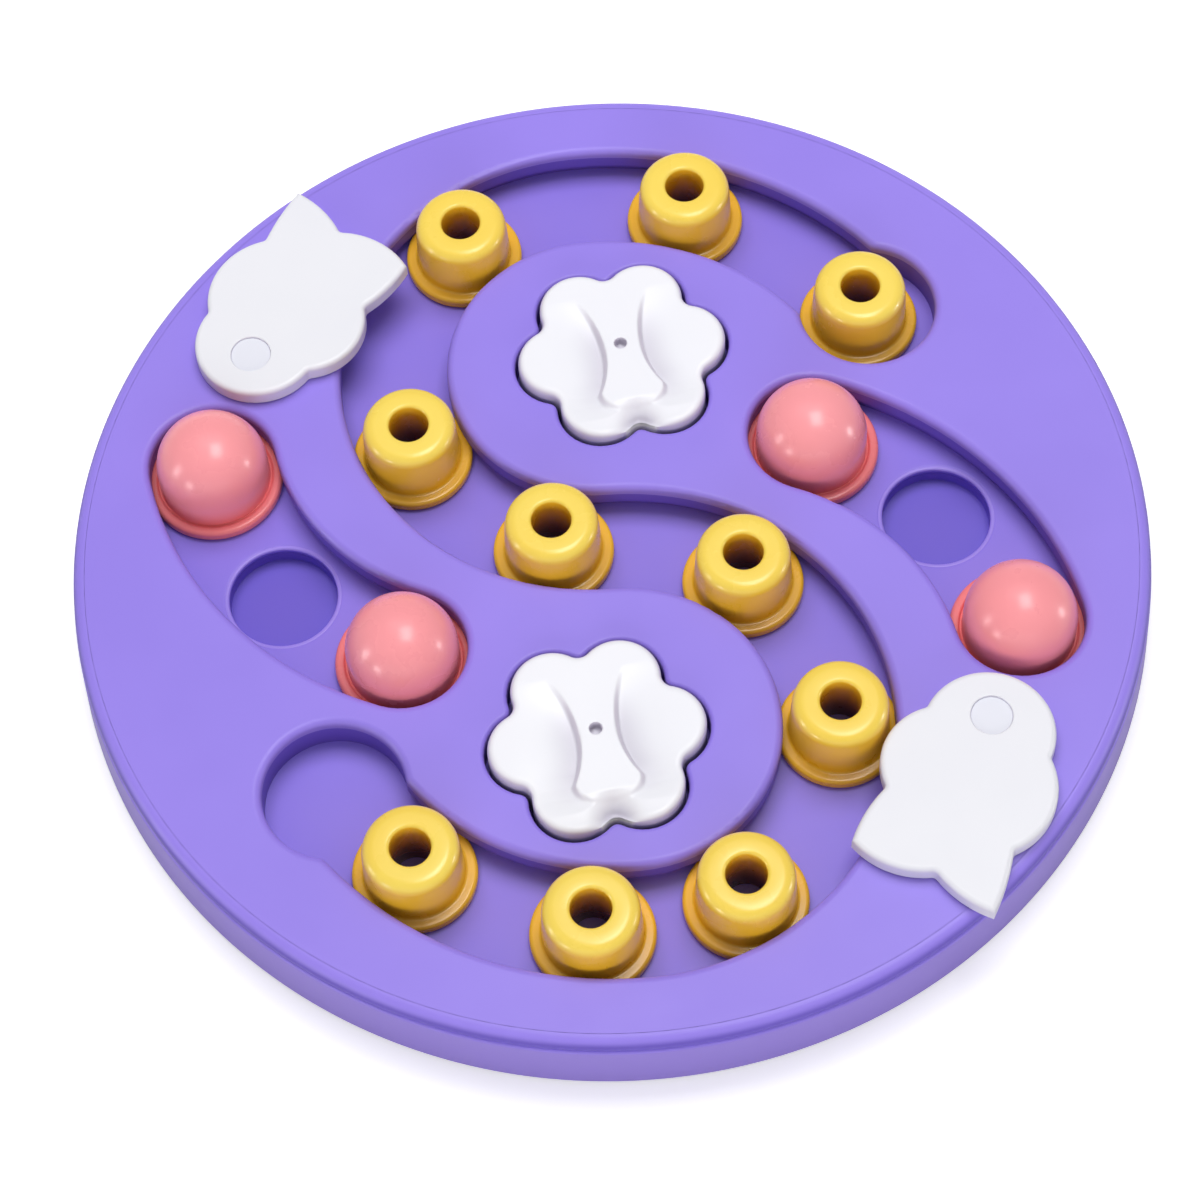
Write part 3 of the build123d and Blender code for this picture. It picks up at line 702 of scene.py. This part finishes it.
class ShapeTree(Maker):
    """Adds nodes to one Geometry Nodes tree."""

    def __init__(self, name: str, sizes: dict[str, str]) -> None:
        """Make a tree with a geometry input and named sizes.

        Args:
            name: the tree's name.
            sizes: socket type of each further input.
        """
        self.tree = bpy.data.node_groups.new(name, "GeometryNodeTree")
        super().__init__(self.tree)
        face = self.tree.interface
        face.new_socket("Geometry", in_out="INPUT", socket_type="NodeSocketGeometry")
        face.new_socket("Geometry", in_out="OUTPUT", socket_type="NodeSocketGeometry")
        for size, kind in sizes.items():
            face.new_socket(size, in_out="INPUT", socket_type=kind)
        self.group_in = self.nodes.new("NodeGroupInput")

    def size(self, name: str) -> Wire:
        """One of the tree's inputs."""
        return Wire(self, self.group_in.outputs[name])

    def close(self, geometry: Wire) -> None:
        """End the tree in Realize Instances and Set Material.

        Args:
            geometry: what the tree has made.
        """
        real = self.node("GeometryNodeRealizeInstances", {}, geometry)
        paint = self.size("Material")
        dressed = self.node("GeometryNodeSetMaterial", {}, Geometry=real, Material=paint)
        self.node("NodeGroupOutput", {}, dressed)

    def run(self, name: str, source: bpy.types.Mesh, **sizes: object) -> bpy.types.Object:
        """Run the tree on a mesh and keep the result as a plain mesh.

        Args:
            name: the new object's name.
            source: the mesh that goes in.
            sizes: the tree's inputs.

        Returns:
            The new object, without any modifier.
        """
        item = bpy.data.objects.new(name, source)
        bpy.context.scene.collection.objects.link(item)
        modifier = item.modifiers.new("shape", "NODES")
        modifier.node_group = self.tree
        for entry in self.tree.interface.items_tree:
            if entry.in_out == "INPUT" and entry.name in sizes:
                modifier[entry.identifier] = sizes[entry.name]
        ready = item.evaluated_get(bpy.context.evaluated_depsgraph_get())
        mesh = bpy.data.meshes.new_from_object(ready)
        item.modifiers.clear()
        item.data = mesh
        tidy_mesh(mesh)
        return item


def lathe_tree() -> ShapeTree:
    """Geometry Nodes tree that turns a profile about a vertical axis.

    Returns:
        The tree. Its geometry input is a row of points, x being the radius and z the height.
    """
    tree = ShapeTree(
        "turned_piece",
        {"Chords": "NodeSocketInt", "Centre": "NodeSocketVector", "Material": "NodeSocketMaterial"},
    )
    profile = tree.size("Geometry")
    count = tree.node("GeometryNodeAttributeDomainSize", {}, profile)
    chords = tree.size("Chords")
    grid = tree.node("GeometryNodeMeshGrid", {}, 1.0, 1.0, chords + 1, count)
    index = tree.node("GeometryNodeInputIndex", {})
    turn = tree.math("FLOOR", (index + 0.5) / count)
    along = index - turn * count
    spot = tree.node(
        "GeometryNodeSampleIndex",
        {"data_type": "FLOAT_VECTOR"},
        Geometry=profile,
        Value=tree.node("GeometryNodeInputPosition", {}),
        Index=along,
    )
    radius = tree.part(spot, "X")
    height = tree.part(spot, "Z")
    angle = turn / chords * (2 * pi)
    across = tree.math("COSINE", angle) * radius
    deep = tree.math("SINE", angle) * radius
    place = tree.node("ShaderNodeCombineXYZ", {}, across, deep, height)
    moved = tree.node("ShaderNodeVectorMath", {"operation": "ADD"}, place, tree.size("Centre"))
    turned = tree.node("GeometryNodeSetPosition", {}, Geometry=grid, Position=moved)
    kept = tree.node(
        "GeometryNodeStoreNamedAttribute", {}, Geometry=turned, Name="radius", Value=radius
    )
    tree.close(tree.node("GeometryNodeMergeByDistance", {}, Geometry=kept, Distance=MERGE_REACH))
    return tree


def scatter_tree() -> ShapeTree:
    """Geometry Nodes tree that puts one turned piece on every point of a mesh.

    Returns:
        The tree. Its geometry input holds the points.
    """
    tree = ShapeTree(
        "pieces_on_points",
        {"Piece": "NodeSocketObject", "Turn": "NodeSocketFloat", "Material": "NodeSocketMaterial"},
    )
    piece = tree.node("GeometryNodeObjectInfo", {}, tree.size("Piece"), out="Geometry")
    index = tree.node("GeometryNodeInputIndex", {})
    spin = tree.node("ShaderNodeCombineXYZ", {}, 0.0, 0.0, index * tree.size("Turn"))
    points = tree.size("Geometry")
    tree.close(
        tree.node("GeometryNodeInstanceOnPoints", {}, Points=points, Instance=piece, Rotation=spin)
    )
    return tree


# ---- workshop


@dataclass
class Workshop:
    """What every sub-assembly needs."""

    frame: dict
    copier: SmoothCopier = SmoothCopier()
    lathe: ShapeTree = field(default_factory=lathe_tree)
    scatter: ShapeTree = field(default_factory=scatter_tree)

    def turned(
        self, name: str, outline: list[Point], chords: int, centre: Vector, finish: Finish
    ) -> bpy.types.Object:
        """Turn an outline about a vertical axis.

        Args:
            name: the new piece's name.
            outline: closed outline, as radius and height in millimetres.
            chords: sides of the turned piece.
            centre: foot of its axis in metres.
            finish: its finish.

        Returns:
            The new piece.
        """
        profile = bpy.data.meshes.new(f"{name}_profile")
        points = [(radius * MM, 0.0, height * MM) for radius, height in outline]
        profile.from_pydata([*points, points[0]], [], [])
        return self.lathe.run(name, profile, Chords=chords, Centre=centre, Material=finish.paint)

    def scattered(
        self, name: str, piece: bpy.types.Object, spots: list[Vector], turn: float, finish: Finish
    ) -> bpy.types.Object:
        """Put a piece on every spot, and remove the loose one.

        Args:
            name: the new object's name.
            piece: what is repeated.
            spots: places in metres.
            turn: angle in radians from each copy to the next.
            finish: its finish.

        Returns:
            All the copies as one object.
        """
        seats = bpy.data.meshes.new(f"{name}_seats")
        seats.from_pydata(spots, [], [])
        item = self.scatter.run(name, seats, Piece=piece, Turn=turn, Material=finish.paint)
        bpy.data.objects.remove(piece)
        return item

    def copied(self, node: str, finish: Finish, body: str, cut: float | None = None) -> None:
        """Let a smooth copy stand for a CAD node.

        Args:
            node: the CAD node.
            finish: the copy's finish.
            body: the body that it moves with.
            cut: where given, what lies beyond this distance from the axis goes.
        """
        name = f"{finish.slot}_{node.removeprefix('tray_')}"
        self.finish(self.copier.copy(self.frame["nodes"][node], name, cut), finish, body, node)

    def finish(self, item: bpy.types.Object, finish: Finish, body: str, *nodes: str) -> None:
        """Dress a piece and let it stand for its CAD nodes.

        Args:
            item: the piece.
            finish: its finish.
            body: the body that it moves with.
            nodes: the CAD nodes that it replaces.
        """
        item.data.materials.clear()
        item.data.materials.append(finish.paint)
        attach(item, body)
        if nodes:
            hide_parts(*nodes)
        log.info("%s: %d faces, %s", item.name, len(item.data.polygons), finish.name.lower())


@dataclass
class Assembly(ABC):
    """A sub-assembly, whose sizes are in millimetres."""

    shop: Workshop

    @abstractmethod
    def build(self) -> None:
        """Make and dress every piece."""


# ---- sliders


@dataclass
class Sliders(Assembly):
    """Turned pieces of one kind, which slide in the tray."""

    kind: str
    finish: Finish
    count: int
    chords: int
    flange_height: float = 3.0
    wall: float = 2.0

    @abstractmethod
    def profile(self, radius: float, height: float) -> list[Point]:
        """Closed outline of the wall.

        Args:
            radius: of the flange.
            height: of the whole piece.

        Returns:
            Radius and height of each point.
        """

    def build(self) -> None:
        """Make every piece in its own place."""
        for number in range(1, self.count + 1):
            node = f"{self.kind}_{number}"
            name, box = f"{self.finish.slot}_{node}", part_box(node)
            outline = self.profile(size_of(box).x / 2, size_of(box).z)
            item = self.shop.turned(name, outline, self.chords, foot_of(box), self.finish)
            self.shop.finish(item, self.finish, node, node)


@dataclass
class Hats(Sliders):
    """Yellow hats with a hole down the middle, which slide along the S slot."""

    kind: str = "hat"
    finish: Finish = Finish.YELLOW
    count: int = 10
    chords: int = 128
    flange_edge: Span = (1.0, 0.9)
    foot_radius: float = 11.9
    foot_fillet: float = 0.7
    top_radius: float = 11.2
    shoulder: float = 3.1
    inner_shoulder: float = 1.6
    hole_radius: float = 4.8
    hole_edge: float = 0.9
    tube_wall: float = 1.6
    tube_fillet: float = 0.6
    soft_edge: float = 0.3

    def profile(self, radius: float, height: float) -> list[Point]:
        """Closed outline of the wall, the tube and the flange.

        Args:
            radius: of the flange.
            height: of the hat.

        Returns:
            Radius and height of each point.
        """
        tube = self.hole_radius + self.tube_wall
        ceiling = height - self.wall
        return rounded(
            (self.hole_radius, 0.0, self.soft_edge),
            (self.hole_radius, height, self.hole_edge),
            (self.top_radius, height, self.shoulder),
            (self.foot_radius, self.flange_height, self.foot_fillet),
            (radius, self.flange_height, self.flange_edge[0]),
            (radius, 0.0, self.flange_edge[1]),
            (self.foot_radius - self.wall, 0.0, self.soft_edge),
            (self.top_radius - self.wall, ceiling, self.inner_shoulder),
            (tube, ceiling, self.tube_fillet),
            (tube, 0.0, self.soft_edge),
        )


@dataclass
class Domes(Sliders):
    """Coral domes that hide the cups."""

    kind: str = "dome"
    finish: Finish = Finish.CORAL
    count: int = 4
    chords: int = 144
    flange_edge: Span = (1.1, 0.9)
    radius: float = 13.6
    mouth_edge: float = 0.3
    mouth_height: float = 3.0
    gutter_width: float = 0.8
    gutter_depth: float = 0.6
    gutter_slope: float = 0.3
    gutter_fillet: float = 0.15
    gutter_edge: float = 0.6
    outer_steps: int = 40
    inner_steps: int = 24

    def profile(self, radius: float, height: float) -> list[Point]:
        """Closed outline of the wall and the flange, which ends at the axis.

        Args:
            radius: of the flange.
            height: of the dome.

        Returns:
            Radius and height of each point.
        """
        crown = (0.0, height - self.radius)
        inside = self.radius - self.wall
        outer = arc(crown, self.radius, pi / 2, 0.0, self.outer_steps)
        inner = arc(crown, inside, 0.0, pi / 2, self.inner_steps)
        gutter = self.radius + self.gutter_width
        low = self.flange_height - self.gutter_depth
        foot = rounded(
            (self.radius, self.flange_height, 0.0),
            (self.radius, low, self.gutter_fillet),
            (gutter - self.gutter_slope, low, self.gutter_fillet),
            (gutter, self.flange_height, self.gutter_edge),
            (radius, self.flange_height, self.flange_edge[0]),
            (radius, 0.0, self.flange_edge[1]),
            (inside, 0.0, self.mouth_edge),
            (inside, self.mouth_height, 0.0),
        )
        return outer + foot + inner


# ---- lids and covers


@dataclass
class FlowerLids(Assembly):
    """White lids with six lobes and a raised bone between two finger scoops."""

    lobes: int = 6
    lobe_bearing: float = radians(8.0)
    tip: float = 26.0
    lobe_radius: float = 9.9
    notch_radius: float = 3.2
    edge: float = 1.9
    edge_steps: int = 12
    foot_edge: float = 0.4
    wall: float = 2.0
    wall_edge: float = 0.3
    ceiling: float = 1.7
    ceiling_fillet: float = 0.6
    ceiling_shares: tuple[float, ...] = (0.02, 0.3, 0.6, 0.97)
    waist: float = 8.1
    waist_shift: float = 0.3
    flare: Span = (0.016, 0.0236)
    bone_end: float = 15.6
    end_half: float = 7.3
    corner: float = 3.6
    bank: float = 1.7
    scoop_depth: float = 2.6
    scoop_fade: float = 8.5
    scoop_start: float = 16.5
    scoop_rise: Span = (8.0, 22.0)
    scoop_rest: float = 0.25
    valley_depth: float = 3.8
    valley_width: float = 4.2
    valley_start: float = 1.0
    valley_run: float = 6.5
    valley_scoop: float = 0.5
    hole_radius: float = 1.5
    hole_edge: float = 0.4
    hole_edge_steps: int = 5
    hole_depth: float = 2.4
    hole_shift: float = 1.5
    top_rings: int = 63
    around: int = 360

    @property
    def bone(self) -> np.ndarray:
        """Direction of the bone, which runs from a notch to the opposite one."""
        bearing = self.lobe_bearing + 1.5 * 2 * pi / self.lobes
        return np.array([cos(bearing), sin(bearing)])

    def reach(self, angle: float) -> float:
        """Distance from the middle to the outline.

        Args:
            angle: direction in radians.

        Returns:
            The distance in millimetres.
        """
        step = 2 * pi / self.lobes
        half = step / 2
        off = abs((angle - self.lobe_bearing + half) % step - half)
        middle = self.tip - self.lobe_radius
        sum_radius = self.lobe_radius + self.notch_radius
        notch = middle * cos(half) + sqrt(sum_radius**2 - (middle * sin(half)) ** 2)
        touch_x = middle + (notch * cos(half) - middle) * self.lobe_radius / sum_radius
        touch_y = notch * sin(half) * self.lobe_radius / sum_radius
        if off <= atan2(touch_y, touch_x):
            return middle * cos(off) + sqrt(self.lobe_radius**2 - (middle * sin(off)) ** 2)
        turn = half - off
        return notch * cos(turn) - sqrt(self.notch_radius**2 - (notch * sin(turn)) ** 2)

    def outline(self, inset: float) -> np.ndarray:
        """Outline moved inwards by a distance.

        Args:
            inset: distance in millimetres.

        Returns:
            One point for each step around.
        """
        angles = np.linspace(0, 2 * pi, self.around, endpoint=False)
        edge = np.array([[self.reach(a) * cos(a), self.reach(a) * sin(a)] for a in angles])
        along = np.roll(edge, -1, 0) - np.roll(edge, 1, 0)
        inward = np.stack([-along[:, 1], along[:, 0]], 1)
        inward /= np.linalg.norm(inward, axis=1)[:, None]
        return edge + inward * inset

    def drop(self, spots: np.ndarray) -> np.ndarray:
        """How far the top lies under its highest level.

        Args:
            spots: points seen from above.

        Returns:
            A depth for each point.
        """
        bone = self.bone
        along = spots @ bone
        side = np.abs(spots @ np.array([bone[1], -bone[0]]) - self.waist_shift)
        flare = self.waist / 2 + np.where(along > 0, *self.flare) * along**2
        half = np.where(along > 0, flare, np.minimum(flare, self.end_half))
        beside = side - half
        below = -self.bone_end - along
        corner = np.hypot(np.maximum(beside + self.corner, 0), np.maximum(below + self.corner, 0))
        outside = corner - self.corner
        bank = np.clip(outside / self.bank, 0, 1)
        bank = bank * bank * (3 - 2 * bank)
        fade = np.exp(-((np.maximum(beside, 0) / self.scoop_fade) ** 2))
        run = np.clip(along / self.scoop_start, 0, 1)
        first, last = self.scoop_rise
        rise = 1 - (1 - self.scoop_rest) * np.clip((-along - first) / (last - first), 0, 1)
        scoop = self.scoop_depth * bank * fade * (1 - run**2) ** 1.5 * rise
        under = np.clip((below + self.valley_start) / self.valley_run, 0, 1)
        valley = self.valley_depth * under * np.exp(-((side / self.valley_width) ** 2))
        return np.maximum(scoop * (1 - under), valley + self.valley_scoop * scoop * under)

    def rings(self, height: float) -> Rings:
        """Rings of points from the underside's middle, out, up and back to the hole.

        Args:
            height: of the whole lid.

        Returns:
            Rings of equal length.
        """
        under = height - self.scoop_depth - self.ceiling
        inner, outer = self.outline(self.wall), self.outline(0.0)
        levels = [(inner * share, under) for share in self.ceiling_shares]
        levels += [(inner, under - self.ceiling_fillet), (inner, self.wall_edge)]
        feet = (self.wall - self.wall_edge, self.foot_edge)
        levels += [(self.outline(inset), 0.0) for inset in feet]
        levels += [(outer, self.foot_edge), (outer, (height - self.edge) * 0.5)]
        for turn in np.linspace(0, pi / 2, self.edge_steps + 1):
            flat = self.outline(self.edge * (1 - cos(turn)))
            level = height - self.edge * (1 - sin(turn)) - self.drop(flat) * sin(turn)
            levels.append((flat, level))
        levels += self.top(height)
        return [np.column_stack([flat, np.zeros(self.around) + level]) for flat, level in levels]

    def top(self, height: float) -> Levels:
        """Rings of the top, from its edge to the bottom of the hole.

        Args:
            height: of the whole lid.

        Returns:
            Each ring from above, and its level.
        """
        rim, hole = self.outline(self.edge), self.hole_shift * self.bone
        mouth = self.hole_radius + self.hole_edge
        toward = rim - hole
        circle = hole + toward / np.linalg.norm(toward, axis=1)[:, None] * mouth
        levels: Levels = []
        for share in np.linspace(0, 1, self.top_rings + 1)[1:]:
            flat = rim + (circle - rim) * share
            levels.append((flat, height - self.drop(flat)))
        for turn in np.linspace(0, pi / 2, self.hole_edge_steps + 1)[1:]:
            flat = circle + (hole - circle) / mouth * self.hole_edge * sin(turn)
            levels.append((flat, height - self.hole_edge * (1 - cos(turn))))
        bottom = hole + (circle - hole) * self.hole_radius / mouth
        middle = hole + (bottom - hole) * self.ceiling_shares[0]
        return levels + [(flat, height - self.hole_depth) for flat in (bottom, middle)]

    def build(self) -> None:
        """Make both lids, each in the middle of its node's box."""
        flat = self.outline(0.0)
        shift = Vector((*(flat.min(0) + flat.max(0)) / 2, 0.0)) * MM
        for name in ("upper", "lower"):
            node = f"flower_lid_{name}"
            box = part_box(node)
            rings = self.rings(size_of(box).z)
            item = lofted(f"white_flower_{name}", rings, foot_of(box) - shift)
            self.shop.finish(item, Finish.LID_WHITE, node, node)


@dataclass
class FishCovers(Assembly):
    """White fish that swing over the wells, each with a cap on its pivot."""

    def build(self) -> None:
        """Dress both covers and their caps."""
        for side in ("left", "right"):
            body = f"fish_cover_{side}"
            self.shop.copied(body, Finish.WHITE, body)
            self.shop.copied(f"pivot_cap_{side}", Finish.CAP_WHITE, body)


# ---- tray


@dataclass
class Tray(Assembly):
    """Lilac deck, skirt, walls and pan, with screws and rubber feet underneath."""

    deck_above_pan: float = 9.5
    rim_rounding: float = 2.7
    rim_height: float = 4.2
    rim_wall: float = 2.5
    rim_undercut: float = 0.9
    undercut_edges: Span = (0.3, 0.4)
    lap: tuple[float, ...] = (0.5, 0.6, 1.0)
    lap_drop: float = 0.02
    lap_rise: float = 0.1
    skirt_shoulder: float = 1.0
    skirt_insets: Span = (1.0, 1.3)
    skirt_edge: float = 0.5
    chords: int = 400
    open_cup: Point = (-80.01, -5.45)
    lip: Span = (13.15, 14.6)
    lip_edges: Span = (0.7, 0.6)
    lip_height: float = 1.3
    lip_drop: float = 0.06
    lip_chords: int = 96
    around: int = 64
    scatter_turn: float = 1.3
    recess_depth: float = 1.1
    recess_reach: float = 1.7
    recess_width: float = 0.42
    recess_slopes: Span = (0.15, 0.6)
    head_height: float = 2.0
    head_edge: float = 0.67
    head_steps: int = 8
    flat_shares: tuple[float, ...] = (0.01, *np.linspace(0.05, 0.7, 24))
    shank_radius: float = 1.5
    shank_point: float = 0.6
    axis_gap: float = 0.01
    foot_grooves: tuple[float, ...] = (2.2, 3.9)
    groove_halves: Span = (0.3, 0.1)
    groove_depth: float = 0.25
    foot_edge: float = 0.5

    def build(self) -> None:
        """Dress the mouldings, and make screws and feet."""
        for node in ("hat_slot_walls", "dome_slot_walls", "pocket_walls", "base_pan"):
            # The walls and pan take lilac painted darker as shade in the slots.
            self.shop.copied(node, Finish.DEEP_LILAC, "tray")
        radius = size_of(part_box("tray_deck")).x / 2
        pan_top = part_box("base_pan")[1].z / MM
        self.shop.copied("tray_deck", Finish.LILAC, "tray", radius - self.rim_wall)
        self.turn("lilac_rim", self.rim(radius, pan_top + self.deck_above_pan), Finish.RIM_LILAC)
        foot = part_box("tray_skirt")
        size, low = size_of(foot), foot[0].z / MM
        skirt = self.skirt(size.x / 2, low, low + size.z)
        self.turn("lilac_skirt", skirt, Finish.LILAC, "tray_skirt")
        self.cup_lips(pan_top - self.lip_drop)
        self.scatter("case_screws", self.screw, Finish.STEEL)
        self.scatter("rubber_feet", self.foot, Finish.RUBBER)

    def turn(self, name: str, outline: list[Point], finish: Finish, *nodes: str) -> None:
        """Turn an outline about the tray's axis, in place of some CAD nodes."""
        item = self.shop.turned(name, outline, self.chords, ORIGIN, finish)
        self.shop.finish(item, finish, "tray", *nodes)

    def cup_lips(self, level: float) -> None:
        """Lay a rounded lip around each kibble cup, just under the sliding surface.

        Args:
            level: height of the lips' top.
        """
        inner, outer = self.lip
        low = level - self.lip_height
        inner_edge, outer_edge = self.lip_edges
        outline = rounded(
            (inner, low, 0.0),
            (inner, level, inner_edge),
            (outer, level, outer_edge),
            (outer, low, 0.0),
        )
        # The lips' lighter lilac is a painted highlight.
        finish = Finish.LIP_LILAC
        lip = self.shop.turned("cup_lip", outline, self.lip_chords, ORIGIN, finish)
        x, y = (c * MM for c in self.open_cup)
        spots = [Vector((x, y, 0.0)), Vector((-x, -y, 0.0))]
        domes = (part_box(f"dome_{number}") for number in range(1, Domes.count + 1))
        spots += [foot_of(box).xy.to_3d() for box in domes]
        item = self.shop.scattered("lilac_cup_lips", lip, spots, 0.0, finish)
        self.shop.finish(item, finish, "tray")

    def rim(self, radius: float, top: float) -> list[Point]:
        """Closed outline of the deck's rim, undercut above the seam and lapped by the deck.

        Args:
            radius: of the rim.
            top: height of the deck's top.

        Returns:
            Radius and height of each point.
        """
        low = top - self.rim_height
        inside = radius - self.rim_wall
        start, step, end = (inside - reach for reach in self.lap)
        return rounded(
            (inside, top - self.rim_wall, 0.0),
            (inside, low, 0.0),
            (radius - self.rim_undercut, low, self.undercut_edges[0]),
            (radius, low + self.rim_undercut, self.undercut_edges[1]),
            (radius, top, self.rim_rounding),
            (start, top, 0.0),
            (step, top - self.lap_drop, 0.0),
            (end, top - self.lap_drop, 0.0),
            (end, top - self.rim_wall + self.lap_rise, 0.0),
        )

    def skirt(self, radius: float, low: float, high: float) -> list[Point]:
        """Closed outline of the flared skirt under the rim.

        Args:
            radius: of its foot.
            low: height of its foot.
            high: height of the seam.

        Returns:
            Radius and height of each point.
        """
        inside = radius - self.rim_wall
        outer, inner = self.skirt_insets
        return rounded(
            (inside - inner, high, 0.0),
            (radius - outer, high, self.skirt_shoulder),
            (radius, low, self.skirt_edge),
            (inside, low, self.skirt_edge),
        )

    def scatter(self, node: str, shape: Callable[[float, float], Rings], finish: Finish) -> None:
        """Put one shape on the place of each solid of a node.

        Args:
            node: the CAD node.
            shape: gives the rings of one piece from its radius and its height.
            finish: its finish.
        """
        boxes = islands(self.shop.frame["nodes"][node])
        size = size_of(boxes[0])
        piece = lofted(f"{node}_shape", shape(size.x / 2, size.z))
        spots = [foot_of(box) for box in boxes]
        name = f"{finish.slot}_{node}"
        item = self.shop.scattered(name, piece, spots, self.scatter_turn, finish)
        self.shop.finish(item, finish, "tray", node)

    def screw(self, radius: float, height: float) -> Rings:
        """Rings of a pan-head screw that points upwards, with a cross recess.

        Args:
            radius: of the head.
            height: of the whole screw.

        Returns:
            Rings from the middle of the recess to the tip.
        """
        head, shank, edge = self.head_height, self.shank_radius, self.head_edge
        flat = [(radius * share, 0.0) for share in self.flat_shares]
        round_edge = arc((radius - edge, edge), edge, -pi / 2, 0.0, self.head_steps)
        shoulder, tip = height - self.shank_point, shank - self.shank_point
        body = [(radius, head), (shank, head), (shank, shoulder), (tip, height)]
        outline = [*flat, *round_edge, *body, (self.axis_gap, height)]
        rings = turned_rings(outline, self.around)
        wall_slope, end_slope = self.recess_slopes
        for ring in rings[: len(flat)]:
            x, y = np.abs(ring[:, 0]), np.abs(ring[:, 1])
            near, far = np.minimum(x, y), np.maximum(x, y)
            wall = np.clip((self.recess_width - near) / wall_slope, 0, 1)
            end = np.clip((self.recess_reach - far) / end_slope, 0, 1)
            ring[:, 2] += self.recess_depth * wall * end
        return rings

    def foot(self, radius: float, height: float) -> Rings:
        """Rings of a rubber foot with two fine grooves underneath.

        Args:
            radius: of the foot.
            height: of the foot.

        Returns:
            Rings from the middle of the underside to the middle of the top.
        """
        outline: list[Point] = [(self.axis_gap, 0.0)]
        mouth, floor = self.groove_halves
        for groove in self.foot_grooves:
            outline += [(groove - mouth, 0.0), (groove - floor, self.groove_depth)]
            outline += [(groove + floor, self.groove_depth), (groove + mouth, 0.0)]
        edge = self.foot_edge
        outline += arc((radius - edge, edge), edge, -pi / 2, 0.0, ROUNDING_STEPS)
        outline += [(radius, height), (self.axis_gap, height)]
        return turned_rings(outline, self.around)


# ---- main


def main() -> None:
    """Build every sub-assembly in order."""
    logging.basicConfig(level=logging.INFO, format="%(name)s %(message)s")
    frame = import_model()
    shop = Workshop(frame)
    slots = {entry["node"]: entry["material_slot"] for entry in frame["record"]["subparts"]}
    for name, node in frame["nodes"].items():
        node.data.materials.clear()
        node.data.materials.append(Finish[slots[name].upper()].paint)
    Studio().set_up()
    for assembly in (Tray, Hats, Domes, FlowerLids, FishCovers):
        assembly(shop).build()


if __name__ == "__main__":
    main()
